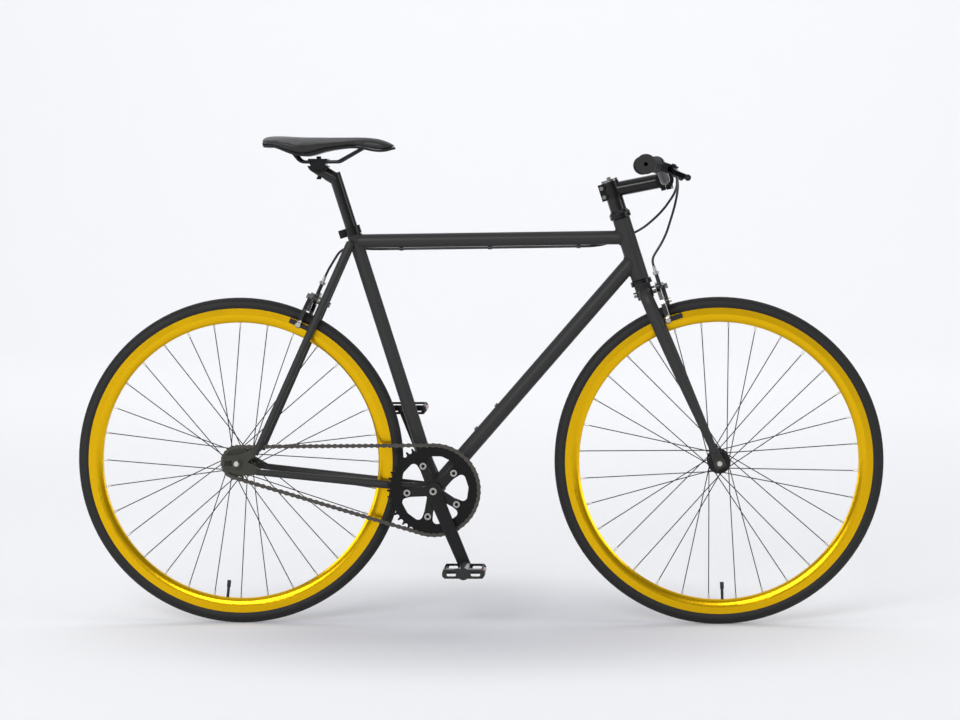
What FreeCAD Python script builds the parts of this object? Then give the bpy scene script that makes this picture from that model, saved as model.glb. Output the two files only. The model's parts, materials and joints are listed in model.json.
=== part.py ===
import FreeCAD, Part
import math
import os
import re

import Sketcher

Vector = FreeCAD.Vector
Rotation = FreeCAD.Rotation
Placement = FreeCAD.Placement

# A fixed gear bicycle. X points forward, Y to the rider's left and Z up.
# The origin is on the ground, midway between the axles.
# Lengths are in millimetres and angles in degrees.
SIZES = {
    # Layout of the bicycle
    "wheelbase": 991,
    "bottom_bracket_drop": 57,
    "seat_angle": 72.5,
    "head_angle": 72.5,
    "fork_rake": 41,
    # Clearances that many pieces share
    "weld_gap": 0.05,
    "running_gap": 0.05,
    "moving_gap": 0.4,
    "cut_overrun": 4,
    # Tyre, tube and rim
    "bead_seat_diameter": 622,
    "tyre_width": 28,
    "tyre_wall": 2.6,
    "tyre_bead_wall": 2.4,
    "inner_tube_wall": 1.2,
    "inner_tube_gap": 0.3,
    "rim_flange_height": 6,
    "rim_depth": 29.5,
    "rim_width": 23,
    "rim_wall": 1.6,
    "rim_track_depth": 13,
    "rim_bed_drop": 3,
    "rim_apex_width": 10,
    "valve_diameter": 6,
    "valve_length": 32,
    "valve_bore": 2.4,
    "valve_cap_diameter": 8,
    "valve_cap_length": 14,
    "valve_cap_end": 3.5,
    "rear_valve_angle": 264,
    "front_valve_angle": 271.6,
    # Spokes
    "spoke_pairs": 16,
    "spoke_crosses": 3,
    "spoke_diameter": 2,
    "spoke_head_diameter": 3.6,
    "spoke_head_length": 1.2,
    "spoke_hole_gap": 0.15,
    "nipple_diameter": 4,
    "nipple_length": 13,
    "nipple_sink": 3,
    "rim_hole_offset": 2.4,
    # Hubs
    "hub_flange_diameter": 47,
    "hub_flange_offset": 31.5,
    "hub_flange_thickness": 3.2,
    "hub_hole_circle": 39,
    "hub_barrel_diameter": 30,
    "hub_waist_diameter": 26,
    "hub_end_diameter": 27,
    "hub_cavity_diameter": 20,
    "hub_bearing_length": 9,
    "front_hub_length": 84,
    "rear_hub_length": 102,
    "rear_carrier_diameter": 34,
    # Axles, nuts and washers
    "front_axle_diameter": 9,
    "rear_axle_diameter": 10,
    "front_spacing": 100,
    "rear_spacing": 120,
    "cone_diameter": 17,
    "washer_diameter": 22,
    "washer_thickness": 2,
    "axle_nut_width": 15,
    "axle_nut_height": 8,
    "axle_stub": 6,
    "axle_stub_step": 0.4,
    # Chain and toothed wheels
    "chain_pitch": 12.7,
    "chain_links": 96,
    "ring_teeth": 46,
    "cog_teeth": 16,
    "chainline": 45,
    "tooth_thickness": 3,
    "tooth_height": 3.6,
    "tooth_tip_width": 2.2,
    "roller_diameter": 7.75,
    "roller_gap": 0.2,
    "roller_width": 3.3,
    "link_plate_thickness": 1,
    "link_plate_height": 8.4,
    "link_waist_depth": 1.4,
    "link_waist_length": 8.4,
    "link_plate_gap": 0.06,
    "pin_diameter": 3.6,
    "pin_end": 0.5,
    "lockring_diameter": 44,
    "lockring_thickness": 4,
    # Chainring and crankset
    "bolt_circle": 110,
    "ring_bolt_diameter": 10,
    "ring_bolt_head": 14,
    "ring_bolt_head_height": 2,
    "ring_window_radius": 72,
    "ring_tab_radius": 46,
    "ring_window_corner": 9,
    "crank_length": 170,
    "crank_angle": -67,
    "crank_hub_diameter": 36,
    "crank_hub_depth": 23,
    "crank_hub_set_in": 1,
    "crank_edge": 4,
    "crank_root_width": 30,
    "crank_end_width": 25,
    "crank_root_thickness": 15,
    "crank_end_thickness": 13,
    "crank_flare": 10,
    "spider_root_width": 22,
    "spider_end_width": 17,
    "spider_thickness": 7,
    "spindle_diameter": 17,
    "spindle_square": 12.7,
    "spindle_square_length": 21,
    "crank_bolt_diameter": 8,
    "crank_bolt_head": 15,
    "crank_bolt_head_height": 5,
    "crank_bolt_length": 16,
    "pedal_thread_diameter": 14,
    # Pedals
    "pedal_width": 92,
    "pedal_length": 86,
    "pedal_height": 19,
    "pedal_plate": 3,
    "pedal_barrel_diameter": 25,
    "pedal_web_width": 16,
    "pedal_web_thickness": 9,
    "pedal_tooth_depth": 3.5,
    "pedal_teeth": 6,
    "pedal_corner": 8,
    "pedal_window_start": 15,
    "pedal_window_end": 34,
    "pedal_window_height": 9.5,
    "pedal_window_corner": 3,
    "pedal_spindle_diameter": 9,
    "pedal_shoulder_diameter": 16,
    "pedal_shoulder": 5,
    "pedal_reflector_length": 46,
    "pedal_reflector_height": 11,
    "pedal_reflector_depth": 4,
    # Frame tubes
    "seat_tube_length": 566,
    "seat_tube_diameter": 28.6,
    "seat_tube_wall": 1.5,
    "top_tube_diameter": 28.6,
    "top_tube_wall": 1.2,
    "top_tube_below_seat_top": 29,
    "top_tube_below_head_top": 40,
    "down_tube_diameter": 32.5,
    "down_tube_wall": 1.2,
    "down_tube_above_head_bottom": 43,
    "head_tube_diameter": 36,
    "head_tube_wall": 2,
    "head_tube_length": 130,
    "shell_diameter": 40,
    "shell_bore": 34.8,
    "shell_width": 68,
    # Stays, bridges and rear track ends
    "chain_stay_root_diameter": 19,
    "chain_stay_end_diameter": 13,
    "chain_stay_root_offset": 20,
    "seat_stay_root_diameter": 17,
    "seat_stay_end_diameter": 13,
    "seat_stay_root_offset": 15.5,
    "seat_stay_setback": 11,
    "seat_stay_drop": 32,
    "stay_wall": 1.2,
    "track_end_thickness": 6,
    "track_end_slot_length": 40,
    "track_end_slot_front": 12,
    "track_end_prong": 10,
    "track_end_corner": 3,
    "track_end_chain_reach": 50,
    "track_end_chain_drop": 18,
    "track_end_seat_reach": 42,
    "track_end_seat_rise": 28,
    "track_end_tang": 9,
    "stay_tip_inset": 10,
    "slot_gap": 0.2,
    "brake_bridge_diameter": 14,
    "brake_bridge_radius": 372,
    "chain_bridge_diameter": 12,
    "chain_bridge_setback": 46,
    # Bottom bracket
    "cup_flange_diameter": 41,
    "cup_flange_thickness": 3,
    "cup_depth": 20,
    # Seat clamp
    "clamp_height": 17,
    "clamp_wall": 3.2,
    "clamp_lip": 2,
    "clamp_ear_length": 11,
    "clamp_ear_thickness": 6,
    "clamp_slit": 3,
    "clamp_bolt_diameter": 5,
    "clamp_bolt_head": 8.5,
    "clamp_bolt_head_height": 5,
    # Bottle bolts on the down tube
    "bottle_bolt_spacing": 64,
    "bottle_bolt_from_shell": 150,
    "bottle_bolt_diameter": 5,
    "bottle_bolt_length": 8,
    "bottle_bolt_head": 9,
    "bottle_bolt_head_height": 3,
    # Headset
    "cup_diameter": 44,
    "cup_height": 9,
    "cup_skirt": 12,
    "bearing_diameter": 38,
    "bearing_height": 6.5,
    "cover_height": 9.5,
    "cover_edge": 3.17,
    "spacer_diameter": 34,
    "spacer_height": 13,
    "spacer_count": 2,
    "race_height": 3,
    # Fork
    "steerer_diameter": 28.6,
    "steerer_wall": 3,
    "crown_seat": 395,
    "crown_diameter": 34,
    "crown_drop": 30,
    "crown_centre_drop": 17,
    "crown_depth": 27,
    "crown_height": 25,
    "blade_depth": 27,
    "blade_breadth": 20,
    "blade_tip_depth": 15,
    "blade_tip_breadth": 13,
    "blade_top_offset": 34,
    "blade_top_drop": 22,
    "blade_above_axle": 24,
    "fork_tip_thickness": 5,
    "fork_tip_width": 25,
    "fork_tip_root_width": 13,
    "fork_tip_tongue": 44,
    # Stem and handlebar
    "stem_clamp_height": 35,
    "stem_clamp_diameter": 36,
    "stem_body_diameter": 30,
    "stem_length": 109,
    "stem_drop_angle": 6.6,
    "stem_slit": 2.4,
    "stem_ear": 8,
    "stem_ear_thickness": 26,
    "stem_bolt_diameter": 5,
    "stem_bolt_head": 8.5,
    "stem_bolt_head_height": 5,
    "bar_clamp_width": 42,
    "bar_clamp_diameter": 38,
    "faceplate_gap": 1.6,
    "faceplate_bolt_spread": 24,
    "faceplate_bolt_rise": 16.5,
    "faceplate_boss": 9.2,
    "faceplate_boss_depth": 10,
    "cap_bolt_length": 24,
    "top_cap_height": 5,
    "bar_diameter": 22.2,
    "bar_centre_diameter": 25.4,
    "bar_centre_length": 60,
    "bar_wall": 2,
    "bar_half_width": 286,
    "bar_rise": 31,
    "bar_sweep": 41,
    "bar_bend_start": 52,
    "bar_bend_end": 116,
    "bar_bend_sweep": 13,
    "bar_bend_radius": 45,
    # Grips
    "grip_length": 126,
    "grip_diameter": 31,
    "grip_flange_diameter": 40,
    "grip_flange_thickness": 4,
    "grip_end_wall": 4,
    "grip_end_hole": 8,
    "grip_rib_depth": 1.2,
    "grip_ribs": 12,
    # Brake levers
    "lever_tilt": 19,
    "lever_inboard": 18,
    "perch_width": 15,
    "perch_body_width": 24,
    "perch_cheek": 3,
    "perch_diameter": 33,
    "perch_height": 19,
    "perch_reach": 33,
    "perch_set_in": 7,
    "perch_nose": 18,
    "lever_thickness": 10,
    "lever_reach": 82,
    "lever_span": 106,
    "lever_hub": 14,
    "lever_root_width": 12,
    "lever_blade_width": 10,
    "lever_ball": 13,
    "lever_pin_diameter": 5,
    "lever_pin_head": 9,
    "lever_pin_head_height": 2.5,
    "perch_slot_gap": 0.8,
    "adjuster_length": 22,
    "adjuster_diameter": 8,
    "adjuster_boss_diameter": 12,
    # Brake callipers
    "calliper_arm_thickness": 8,
    "calliper_layer_gap": 2,
    "calliper_spacer": 8,
    "calliper_spacer_diameter": 16,
    "calliper_half_width": 38,
    "calliper_hub_diameter": 19,
    "calliper_arm_width": 17,
    "calliper_arm_end_width": 15,
    "calliper_bolt_diameter": 6,
    "calliper_nut_width": 11,
    "calliper_nut_height": 6,
    "calliper_cable_offset": 47,
    "calliper_cable_rise": 6,
    "calliper_anchor_drop": 28,
    "calliper_barrel_length": 30,
    "housing_approach": 26,
    "calliper_barrel_diameter": 8,
    "calliper_barrel_bore": 5.6,
    "calliper_anchor_head": 9,
    "calliper_anchor_height": 5,
    "pad_length": 52,
    "pad_height": 10,
    "pad_thickness": 8,
    "pad_rim_gap": 2,
    "pad_post_diameter": 7,
    "pad_nut_width": 10,
    "pad_nut_height": 5,
    "wire_diameter": 1.6,
    "wire_tail": 34,
    "wire_top_inset": 3,
    # Cable housing
    "housing_diameter": 5,
    "clip_count": 3,
    "clip_width": 8,
    "clip_thickness": 1.2,
    "first_clip_from_head": 100,
    "last_clip_from_seat": 94,
    "clip_leave_run": 36,
    "housing_seat": 0.3,
    # Seatpost and saddle
    "post_diameter": 25.4,
    "post_gap": 0.1,
    "post_wall": 2.4,
    "post_insertion": 130,
    "post_exposed": 118,
    "rail_clamp_setback": 23,
    "rail_clamp_rise": 32,
    "post_head_radius": 24,
    "post_head_width": 34,
    "post_head_drop": 8,
    "post_neck_diameter": 26,
    "post_neck_drop": 15,
    "rail_diameter": 7,
    "rail_spacing": 44,
    "rail_front_bend": 42,
    "rail_front_end": 92,
    "rail_front_rise": 28,
    "rail_front_spacing": 22,
    "rail_rear_bend": 36,
    "rail_rear_end": 52,
    "rail_rear_rise": 20,
    "rail_rear_spacing": 52,
    "rail_bend_radius": 18,
    "saddle_clamp_length": 40,
    "saddle_clamp_width": 54,
    "saddle_clamp_radius": 17,
    "saddle_clamp_plate": 6,
    "saddle_clamp_gap": 1,
    "saddle_bolt_diameter": 6,
    "saddle_bolt_head": 10,
    "saddle_bolt_head_height": 5,
    "saddle_bolt_drop": 31,
    "saddle_tilt": 10,
    "saddle_bolt_slot": 19,
    "saddle_length": 271,
    "saddle_width": 146,
    "saddle_top": 52,
    "saddle_rear_overhang": 113,
    "saddle_base_thickness": 5,
    "cushion_gap": 0.3,
    "saddle_base_inset": 2,
}

doc = FreeCAD.newDocument("fixed_gear_bike")
sheet = doc.addObject("Spreadsheet::Sheet", "sizes")
for row, (alias, value) in enumerate(SIZES.items(), start=1):
    sheet.set(f"A{row}", alias)
    sheet.set(f"B{row}", str(value))
    sheet.setAlias(f"B{row}", alias)
doc.recompute()

X_AXIS = Vector(1, 0, 0)
Y_AXIS = Vector(0, 1, 0)
Z_AXIS = Vector(0, 0, 1)
FULL_TURN = 360
NAME = re.compile(r"[a-z][a-z_]+")
nodes = {}


def size(expression):
    """The number that an expression in the sheet's names gives."""
    return float(sheet.evalExpression(expression))


def bound(expression):
    """The same expression as another object of the document writes it."""
    return NAME.sub(lambda found: "sizes." + found[0] if found[0] in SIZES else found[0], expression)


def put(piece, name, value):
    """Binds a property to the sheet, or sets a worked-out number."""
    if isinstance(value, str):
        piece.setExpression(name, bound(value))
    else:
        setattr(piece, name, value)


def unit(vector):
    result = Vector(vector)
    result.normalize()
    return result


def polar(radius, angle, level=0.0):
    """A point of a wheel at the origin, its angle measured from forward towards up."""
    turn = math.radians(angle)
    return Vector(radius * math.cos(turn), level, radius * math.sin(turn))


def along(start, direction):
    """The placement that takes Z to a direction."""
    return Placement(start, Rotation(Z_AXIS, direction))


def axes(origin, across, upward, outward):
    """The placement that takes X, Y and Z to three square directions."""
    return Placement(origin, Rotation(across, upward, outward, "ZXY"))


def keep(label, piece):
    """Gives a finished sub-part the name of its node."""
    piece.Label = label
    nodes[label] = piece
    return piece


def cylinder(name, radius, height, start, direction):
    piece = doc.addObject("Part::Cylinder", name)
    put(piece, "Radius", radius)
    put(piece, "Height", height)
    piece.Placement = along(start, direction)
    return piece


def cone(name, radius_start, radius_end, start, end):
    piece = doc.addObject("Part::Cone", name)
    put(piece, "Radius1", radius_start)
    put(piece, "Radius2", radius_end)
    piece.Height = start.distanceToPoint(end)
    piece.Placement = along(start, end - start)
    return piece


def cut(name, base, tools):
    piece = doc.addObject("Part::Cut", name)
    piece.Base = base
    piece.Tool = tools[0] if len(tools) == 1 else group(name + "_tools", tools)
    return piece


def fuse(name, pieces):
    piece = doc.addObject("Part::MultiFuse", name)
    piece.Shapes = pieces
    piece.Refine = True
    return piece


def group(name, pieces):
    piece = doc.addObject("Part::Compound", name)
    piece.Links = pieces
    return piece


def mirrored(name, source):
    """The left-hand twin of a right-hand piece."""
    piece = doc.addObject("Part::Mirroring", name)
    piece.Source = source
    piece.Normal = Y_AXIS
    return piece


def pair(label, right):
    """A right-hand piece and its left-hand twin in one node."""
    return keep(label, group(label + "_pair", [right, mirrored(label + "_left", right)]))


def solid(name, shape, place=Placement()):
    """A piece whose shape is worked out from the sheet's sizes."""
    piece = doc.addObject("Part::Feature", name)
    piece.Shape = shape
    piece.Placement = place.multiply(shape.Placement)
    return piece


def sketch_loop(sketch, corners):
    """Adds one closed loop. A corner is (x, y), or (x, y, centre) where an arc leaves it."""
    places = [Vector(size(corner[0]), size(corner[1])) for corner in corners]
    first = sketch.GeometryCount
    count = len(corners)
    arc_starts = []
    for index, corner in enumerate(corners):
        start = places[index]
        end = places[(index + 1) % count]
        if len(corner) == 2:
            sketch.addGeometry(Part.LineSegment(start, end), False)
            arc_starts.append(True)
            continue
        centre = Vector(size(corner[2][0]), size(corner[2][1]))
        circle = Part.Circle(centre, Z_AXIS, (start - centre).Length)
        angles = [math.atan2(place.y - centre.y, place.x - centre.x) for place in (start, end)]
        counter_clockwise = (start - centre).cross(end - centre).z > 0
        if not counter_clockwise:
            angles.reverse()
        sketch.addGeometry(Part.ArcOfCircle(circle, *angles), False)
        arc_starts.append(counter_clockwise)
    for index in range(count):
        following = (index + 1) % count
        here = (first + index, 2 if arc_starts[index] else 1)
        there = (first + following, 1 if arc_starts[following] else 2)
        sketch.addConstraint(Sketcher.Constraint("Coincident", *here, *there))
    for index, corner in enumerate(corners):
        point = (first + index, 1 if arc_starts[index] else 2)
        before = corners[index - 1]
        if len(before) == 2:
            fix_point(sketch, point, places[index], corner, "xy")
        else:
            middle = Vector(size(before[2][0]), size(before[2][1]))
            spoke = places[index] - middle
            fix_point(sketch, point, places[index], corner, "y" if abs(spoke.x) > abs(spoke.y) else "x")
        if len(corner) == 3:
            middle = Vector(size(corner[2][0]), size(corner[2][1]))
            fix_point(sketch, (first + index, 3), middle, corner[2], "xy")


def fix_point(sketch, point, place, expressions, directions):
    """Ties a sketch point to the origin by expressions."""
    for direction, value, expression, axis in (
        ("x", place.x, expressions[0], -2),
        ("y", place.y, expressions[1], -1),
    ):
        if direction not in directions:
            continue
        if value == 0:
            sketch.addConstraint(Sketcher.Constraint("PointOnObject", *point, axis))
            continue
        kind = "Distance" + direction.upper()
        number = sketch.addConstraint(Sketcher.Constraint(kind, -1, 1, *point, value))
        sketch.setExpression(f"Constraints[{number}]", bound(expression))


def sketched_body(name, plane, loops):
    """A body with one sketch of closed loops on one of its origin planes."""
    body = doc.addObject("PartDesign::Body", name)
    sketch = body.newObject("Sketcher::SketchObject", name + "_sketch")
    origin_plane = next(item for item in body.Origin.OriginFeatures if item.Role == plane)
    sketch.AttachmentSupport = [(origin_plane, "")]
    sketch.MapMode = "FlatFace"
    for corners in loops:
        sketch_loop(sketch, corners)
    return body, sketch


def revolved(name, loops, plane="XY_Plane"):
    """A turned piece: XY loops turn about Y and XZ loops turn about Z."""
    body, sketch = sketched_body(name, plane, loops)
    turn = body.newObject("PartDesign::Revolution", name + "_turn")
    turn.Profile = sketch
    turn.ReferenceAxis = (sketch, ["V_Axis"])
    turn.Angle = FULL_TURN
    return body


def padded(name, loops, thickness, plane="XY_Plane"):
    """A flat piece of one thickness."""
    body, sketch = sketched_body(name, plane, loops)
    pad = body.newObject("PartDesign::Pad", name + "_pad")
    pad.Profile = sketch
    put(pad, "Length", thickness)
    return body


def ring_loop(inner, outer, low, high):
    return [(inner, low), (outer, low), (outer, high), (inner, high)]


def capsule(start, end, radius_start, radius_end):
    """The outline round two circles, as a face in the XY plane."""
    run = end - start
    length = run.Length
    run.normalize()
    side = Vector(-run.y, run.x, 0)
    lean = (radius_start - radius_end) / length
    spread = math.sqrt(1 - lean * lean)
    tangents = [run * lean + side * spread, run * lean - side * spread]
    left, right = [(start + ray * radius_start, end + ray * radius_end) for ray in tangents]
    edges = [
        Part.LineSegment(left[0], left[1]).toShape(),
        Part.Arc(left[1], end + run * radius_end, right[1]).toShape(),
        Part.LineSegment(right[1], right[0]).toShape(),
        Part.Arc(right[0], start - run * radius_start, left[0]).toShape(),
    ]
    return Part.Face(Part.Wire(edges))


def bar(points, radii, thickness, low=0.0):
    """A bent flat bar along a line of points, with its own half width at each point."""
    links = []
    for index in range(len(points) - 1):
        face = capsule(points[index], points[index + 1], radii[index], radii[index + 1])
        links.append(face.extrude(Vector(0, 0, thickness)))
    shape = links[0].multiFuse(links[1:]) if len(links) > 1 else links[0]
    shape = shape.removeSplitter()
    shape.translate(Vector(0, 0, low))
    return shape.Solids[0] if len(shape.Solids) == 1 else shape


def rod(start, end, radius):
    return Part.makeCylinder(radius, start.distanceToPoint(end), start, end - start)


def hexagon(width, height, start, direction):
    """A nut blank: width is across its flats."""
    corner = width / math.sqrt(3)
    turns = [polar(corner, FULL_TURN / 6 * index) for index in range(7)]
    outline = Part.makePolygon([Vector(turn.x, turn.z, 0) for turn in turns])
    shape = Part.Face(outline).extrude(Vector(0, 0, height))
    shape.Placement = along(start, direction)
    return shape


def rounded_wire(points, radii):
    """An open path of straight runs joined by tangent arcs."""
    edges = []
    last = points[0]
    for index in range(1, len(points) - 1):
        before = unit(points[index - 1] - points[index])
        after = unit(points[index + 1] - points[index])
        half = before.getAngle(after) / 2
        reach = radii[index] / math.tan(half)
        start = points[index] + before * reach
        end = points[index] + after * reach
        middle = points[index] + unit(before + after) * (radii[index] / math.sin(half) - radii[index])
        edges.append(Part.LineSegment(last, start).toShape())
        edges.append(Part.Arc(start, middle, end).toShape())
        last = end
    edges.append(Part.LineSegment(last, points[-1]).toShape())
    return Part.Wire(edges)


CORD_ARC_SHARE = 0.45
VOLUME_SHARE = 0.01


def cord_radii(points):
    """Arc radii for a cord: as large as the shorter run at each point allows."""
    radii = [0.0]
    for index in range(1, len(points) - 1):
        before = points[index - 1] - points[index]
        after = points[index + 1] - points[index]
        shorter = min(before.Length, after.Length)
        radii.append(CORD_ARC_SHARE * shorter * math.tan(before.getAngle(after) / 2))
    return radii


def tube_along(points, radii, radius):
    """A round rod along a path; its volume is compared with section times length."""
    path = rounded_wire(points, radii)
    circle = Part.Circle(points[0], points[1] - points[0], radius)
    shape = path.makePipeShell([Part.Wire(circle.toShape())], True, False)
    expected = math.pi * radius ** 2 * path.Length
    assert abs(shape.Volume / expected - 1) < VOLUME_SHARE, "a swept rod has the wrong volume"
    return shape


def ellipse_wire(centre, across, upward, half_across, half_upward):
    """An ellipse whose half axes may come in either order of size."""
    circle = Part.Wire(Part.Circle(Vector(), Z_AXIS, 1).toShape())
    stretch = FreeCAD.Matrix()
    stretch.scale(half_across, half_upward, 1)
    wire = circle.transformGeometry(stretch)
    wire.Placement = axes(centre, across, upward, across.cross(upward))
    return Part.Wire(wire.Edges)


def box(low, high):
    """A block between two corners."""
    extent = high - low
    return Part.makeBox(extent.x, extent.y, extent.z, low)


# Wheel centres and the chain's closing distance
WHEEL_RADIUS = size("bead_seat_diameter / 2 + tyre_width")
REAR = Vector(size("-wheelbase / 2"), 0, WHEEL_RADIUS)
FRONT = Vector(size("wheelbase / 2"), 0, WHEEL_RADIUS)
PITCH = size("chain_pitch")


def pitch_radius(teeth):
    return PITCH / (2 * math.sin(math.pi / teeth))


RING_TEETH = int(size("ring_teeth"))
COG_TEETH = int(size("cog_teeth"))
LINKS = int(size("chain_links"))
RING_RADIUS = pitch_radius(RING_TEETH)
COG_RADIUS = pitch_radius(COG_TEETH)


def chain_spans(distance):
    """Lean of the straight runs, and the pitches on a run, the ring and the cog."""
    lean = math.asin((RING_RADIUS - COG_RADIUS) / distance)
    run = distance * math.cos(lean) / PITCH
    on_ring = RING_TEETH * (0.5 + lean / math.pi)
    on_cog = COG_TEETH * (0.5 - lean / math.pi)
    return lean, run, on_ring, on_cog


def closing_distance():
    """The axle distance at which the chain's links just close."""
    low = RING_RADIUS
    high = LINKS * PITCH / 2
    for _ in range(80):
        middle = (low + high) / 2
        _, run, on_ring, on_cog = chain_spans(middle)
        if 2 * run + on_ring + on_cog < LINKS:
            low = middle
        else:
            high = middle
    return middle


CHAIN_DISTANCE = closing_distance()
DROP = size("bottom_bracket_drop")
BOTTOM = Vector(REAR.x + math.sqrt(CHAIN_DISTANCE ** 2 - DROP ** 2), 0, WHEEL_RADIUS - DROP)

# Seat tube line
SEAT_LEAN = math.radians(size("seat_angle"))
SEAT_UP = Vector(-math.cos(SEAT_LEAN), 0, math.sin(SEAT_LEAN))
SEAT_TOP = BOTTOM + SEAT_UP * size("seat_tube_length")

# Steering line: heights are measured along it from the point abreast of the front axle
HEAD_LEAN = math.radians(size("head_angle"))
STEER_UP = Vector(-math.cos(HEAD_LEAN), 0, math.sin(HEAD_LEAN))
AHEAD = Vector(math.sin(HEAD_LEAN), 0, math.cos(HEAD_LEAN))
STEER_FOOT = FRONT - AHEAD * size("fork_rake")
HEAD_BOTTOM = size("crown_seat + race_height + cup_height")
HEAD_TOP = HEAD_BOTTOM + size("head_tube_length")
STEM_BOTTOM = HEAD_TOP + size("cup_height + cover_height + spacer_count * spacer_height")
STEM_TOP = STEM_BOTTOM + size("stem_clamp_height")


def on_steerer(height, ahead=0.0, left=0.0):
    return STEER_FOOT + STEER_UP * height + AHEAD * ahead + Y_AXIS * left


# Frame tubes, each mitred where it meets its neighbour
def cutter(name, diameter, start, end):
    """A cylinder a weld gap larger than a tube, to mitre its neighbours with."""
    return cylinder(name, f"{diameter} / 2 + weld_gap", (end - start).Length, start, end - start)


HEAD_LOW = on_steerer(HEAD_BOTTOM)
HEAD_HIGH = on_steerer(HEAD_TOP)
SHELL_RIGHT = BOTTOM - Y_AXIS * size("shell_width / 2")
SHELL_LEFT = BOTTOM + Y_AXIS * size("shell_width / 2")
TOP_TUBE_REAR = SEAT_TOP - SEAT_UP * size("top_tube_below_seat_top")
TOP_TUBE_FRONT = on_steerer(HEAD_TOP - size("top_tube_below_head_top"))
DOWN_TUBE_FRONT = on_steerer(HEAD_BOTTOM + size("down_tube_above_head_bottom"))

head_cutter = cutter("head_cutter", "head_tube_diameter", HEAD_LOW, HEAD_HIGH)
shell_cutter = cutter("shell_cutter", "shell_diameter", SHELL_RIGHT, SHELL_LEFT)
seat_cutter = cutter("seat_cutter", "seat_tube_diameter", BOTTOM, SEAT_TOP)
top_cutter = cutter("top_cutter", "top_tube_diameter", TOP_TUBE_REAR, TOP_TUBE_FRONT)
down_cutter = cutter("down_cutter", "down_tube_diameter", BOTTOM, DOWN_TUBE_FRONT)


def frame_tube(label, diameter, wall, start, end, mitres):
    """A hollow tube between two points of the frame."""
    length = (end - start).Length
    outer = cylinder(label + "_outer", f"{diameter} / 2", length, start, end - start)
    bore = cylinder(label + "_bore", f"{diameter} / 2 - {wall}", length, start, end - start)
    return cut(label + "_tube", outer, [bore] + mitres)


keep("head_tube", frame_tube("head_tube", "head_tube_diameter", "head_tube_wall", HEAD_LOW, HEAD_HIGH, []))
keep("top_tube", frame_tube("top_tube", "top_tube_diameter", "top_tube_wall",
                            TOP_TUBE_REAR, TOP_TUBE_FRONT, [seat_cutter, head_cutter]))
keep("seat_tube", frame_tube("seat_tube", "seat_tube_diameter", "seat_tube_wall",
                             BOTTOM, SEAT_TOP, [shell_cutter]))

shell_outer = cylinder("shell_outer", "shell_diameter / 2", "shell_width", SHELL_RIGHT, Y_AXIS)
shell_bore = cylinder("shell_hole", "shell_bore / 2", "shell_width", SHELL_RIGHT, Y_AXIS)
keep("bottom_bracket_shell", cut("shell_tube", shell_outer, [shell_bore]))

# Bottle bolts in the down tube's upper side
DOWN_RUN = unit(DOWN_TUBE_FRONT - BOTTOM)
DOWN_OUT = Vector(-DOWN_RUN.z, 0, DOWN_RUN.x)
BOLT_SEAT = size("down_tube_diameter / 2")
bottle_holes = []
bottle_bolts = []
for number in range(2):
    reach = size("bottle_bolt_from_shell") + number * size("bottle_bolt_spacing")
    foot = BOTTOM + DOWN_RUN * reach
    hole = cylinder(f"bottle_hole_{number}", "bottle_bolt_diameter / 2 + running_gap",
                    "down_tube_diameter / 2 + cut_overrun", foot, DOWN_OUT)
    bottle_holes.append(hole)
    shank = cylinder(f"bottle_shank_{number}", "bottle_bolt_diameter / 2", "bottle_bolt_length",
                     foot + DOWN_OUT * (BOLT_SEAT - size("bottle_bolt_length")), DOWN_OUT)
    head = cylinder(f"bottle_head_{number}", "bottle_bolt_head / 2", "bottle_bolt_head_height",
                    foot + DOWN_OUT * BOLT_SEAT, DOWN_OUT)
    bottle_bolts.append(fuse(f"bottle_bolt_{number}", [shank, head]))
keep("down_tube", frame_tube("down_tube", "down_tube_diameter", "down_tube_wall", BOTTOM, DOWN_TUBE_FRONT,
                             [shell_cutter, head_cutter, seat_cutter] + bottle_holes))
keep("bottle_bolts", group("bottle_bolt_group", bottle_bolts))

# Rear track ends: flat plates whose slots open rearward
SLOT = "(rear_axle_diameter / 2 + slot_gap)"
SLOT_REAR = "-(track_end_slot_length - track_end_slot_front)"
SLOT_END = f"(track_end_slot_front - {SLOT})"
track_end = padded("track_end", [[
    (SLOT_REAR, f"-{SLOT}"),
    (SLOT_REAR, f"-({SLOT} + track_end_prong)"),
    ("track_end_slot_front", "-(track_end_chain_drop + track_end_tang / 2 + track_end_corner)"),
    ("track_end_chain_reach", "-(track_end_chain_drop + track_end_tang / 2)"),
    ("track_end_chain_reach", "-(track_end_chain_drop - track_end_tang / 2)"),
    ("track_end_slot_front + track_end_prong", "track_end_corner"),
    ("track_end_seat_reach + track_end_tang / 2", "track_end_seat_rise - track_end_corner"),
    ("track_end_seat_reach - track_end_tang / 2", "track_end_seat_rise + track_end_corner"),
    ("track_end_corner", f"{SLOT} + track_end_prong + track_end_corner"),
    (SLOT_REAR, f"{SLOT} + track_end_prong"),
    (SLOT_REAR, SLOT),
    (SLOT_END, SLOT, (SLOT_END, "0")),
    (SLOT_END, f"-{SLOT}"),
]], "track_end_thickness", "XZ_Plane")
track_end.Placement.Base = REAR - Y_AXIS * size("rear_spacing / 2")
pair("rear_track_ends", track_end)
TRACK_OFFSET = size("rear_spacing / 2 + track_end_thickness / 2")


# Stays: tapered tubes whose solid rear tips are slotted for the track ends
def stay(name, root, end, root_diameter, end_diameter, mitres):
    """One right-hand stay."""
    outer = cone(name + "_outer", f"{root_diameter} / 2", f"{end_diameter} / 2", root, end)
    inner_end = end + unit(root - end) * size("stay_tip_inset * 2")
    bore = cone(name + "_bore", f"{root_diameter} / 2 - stay_wall", f"{end_diameter} / 2 - stay_wall",
                root, inner_end)
    return outer, cut(name, outer, [bore, track_end] + mitres)


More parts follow.
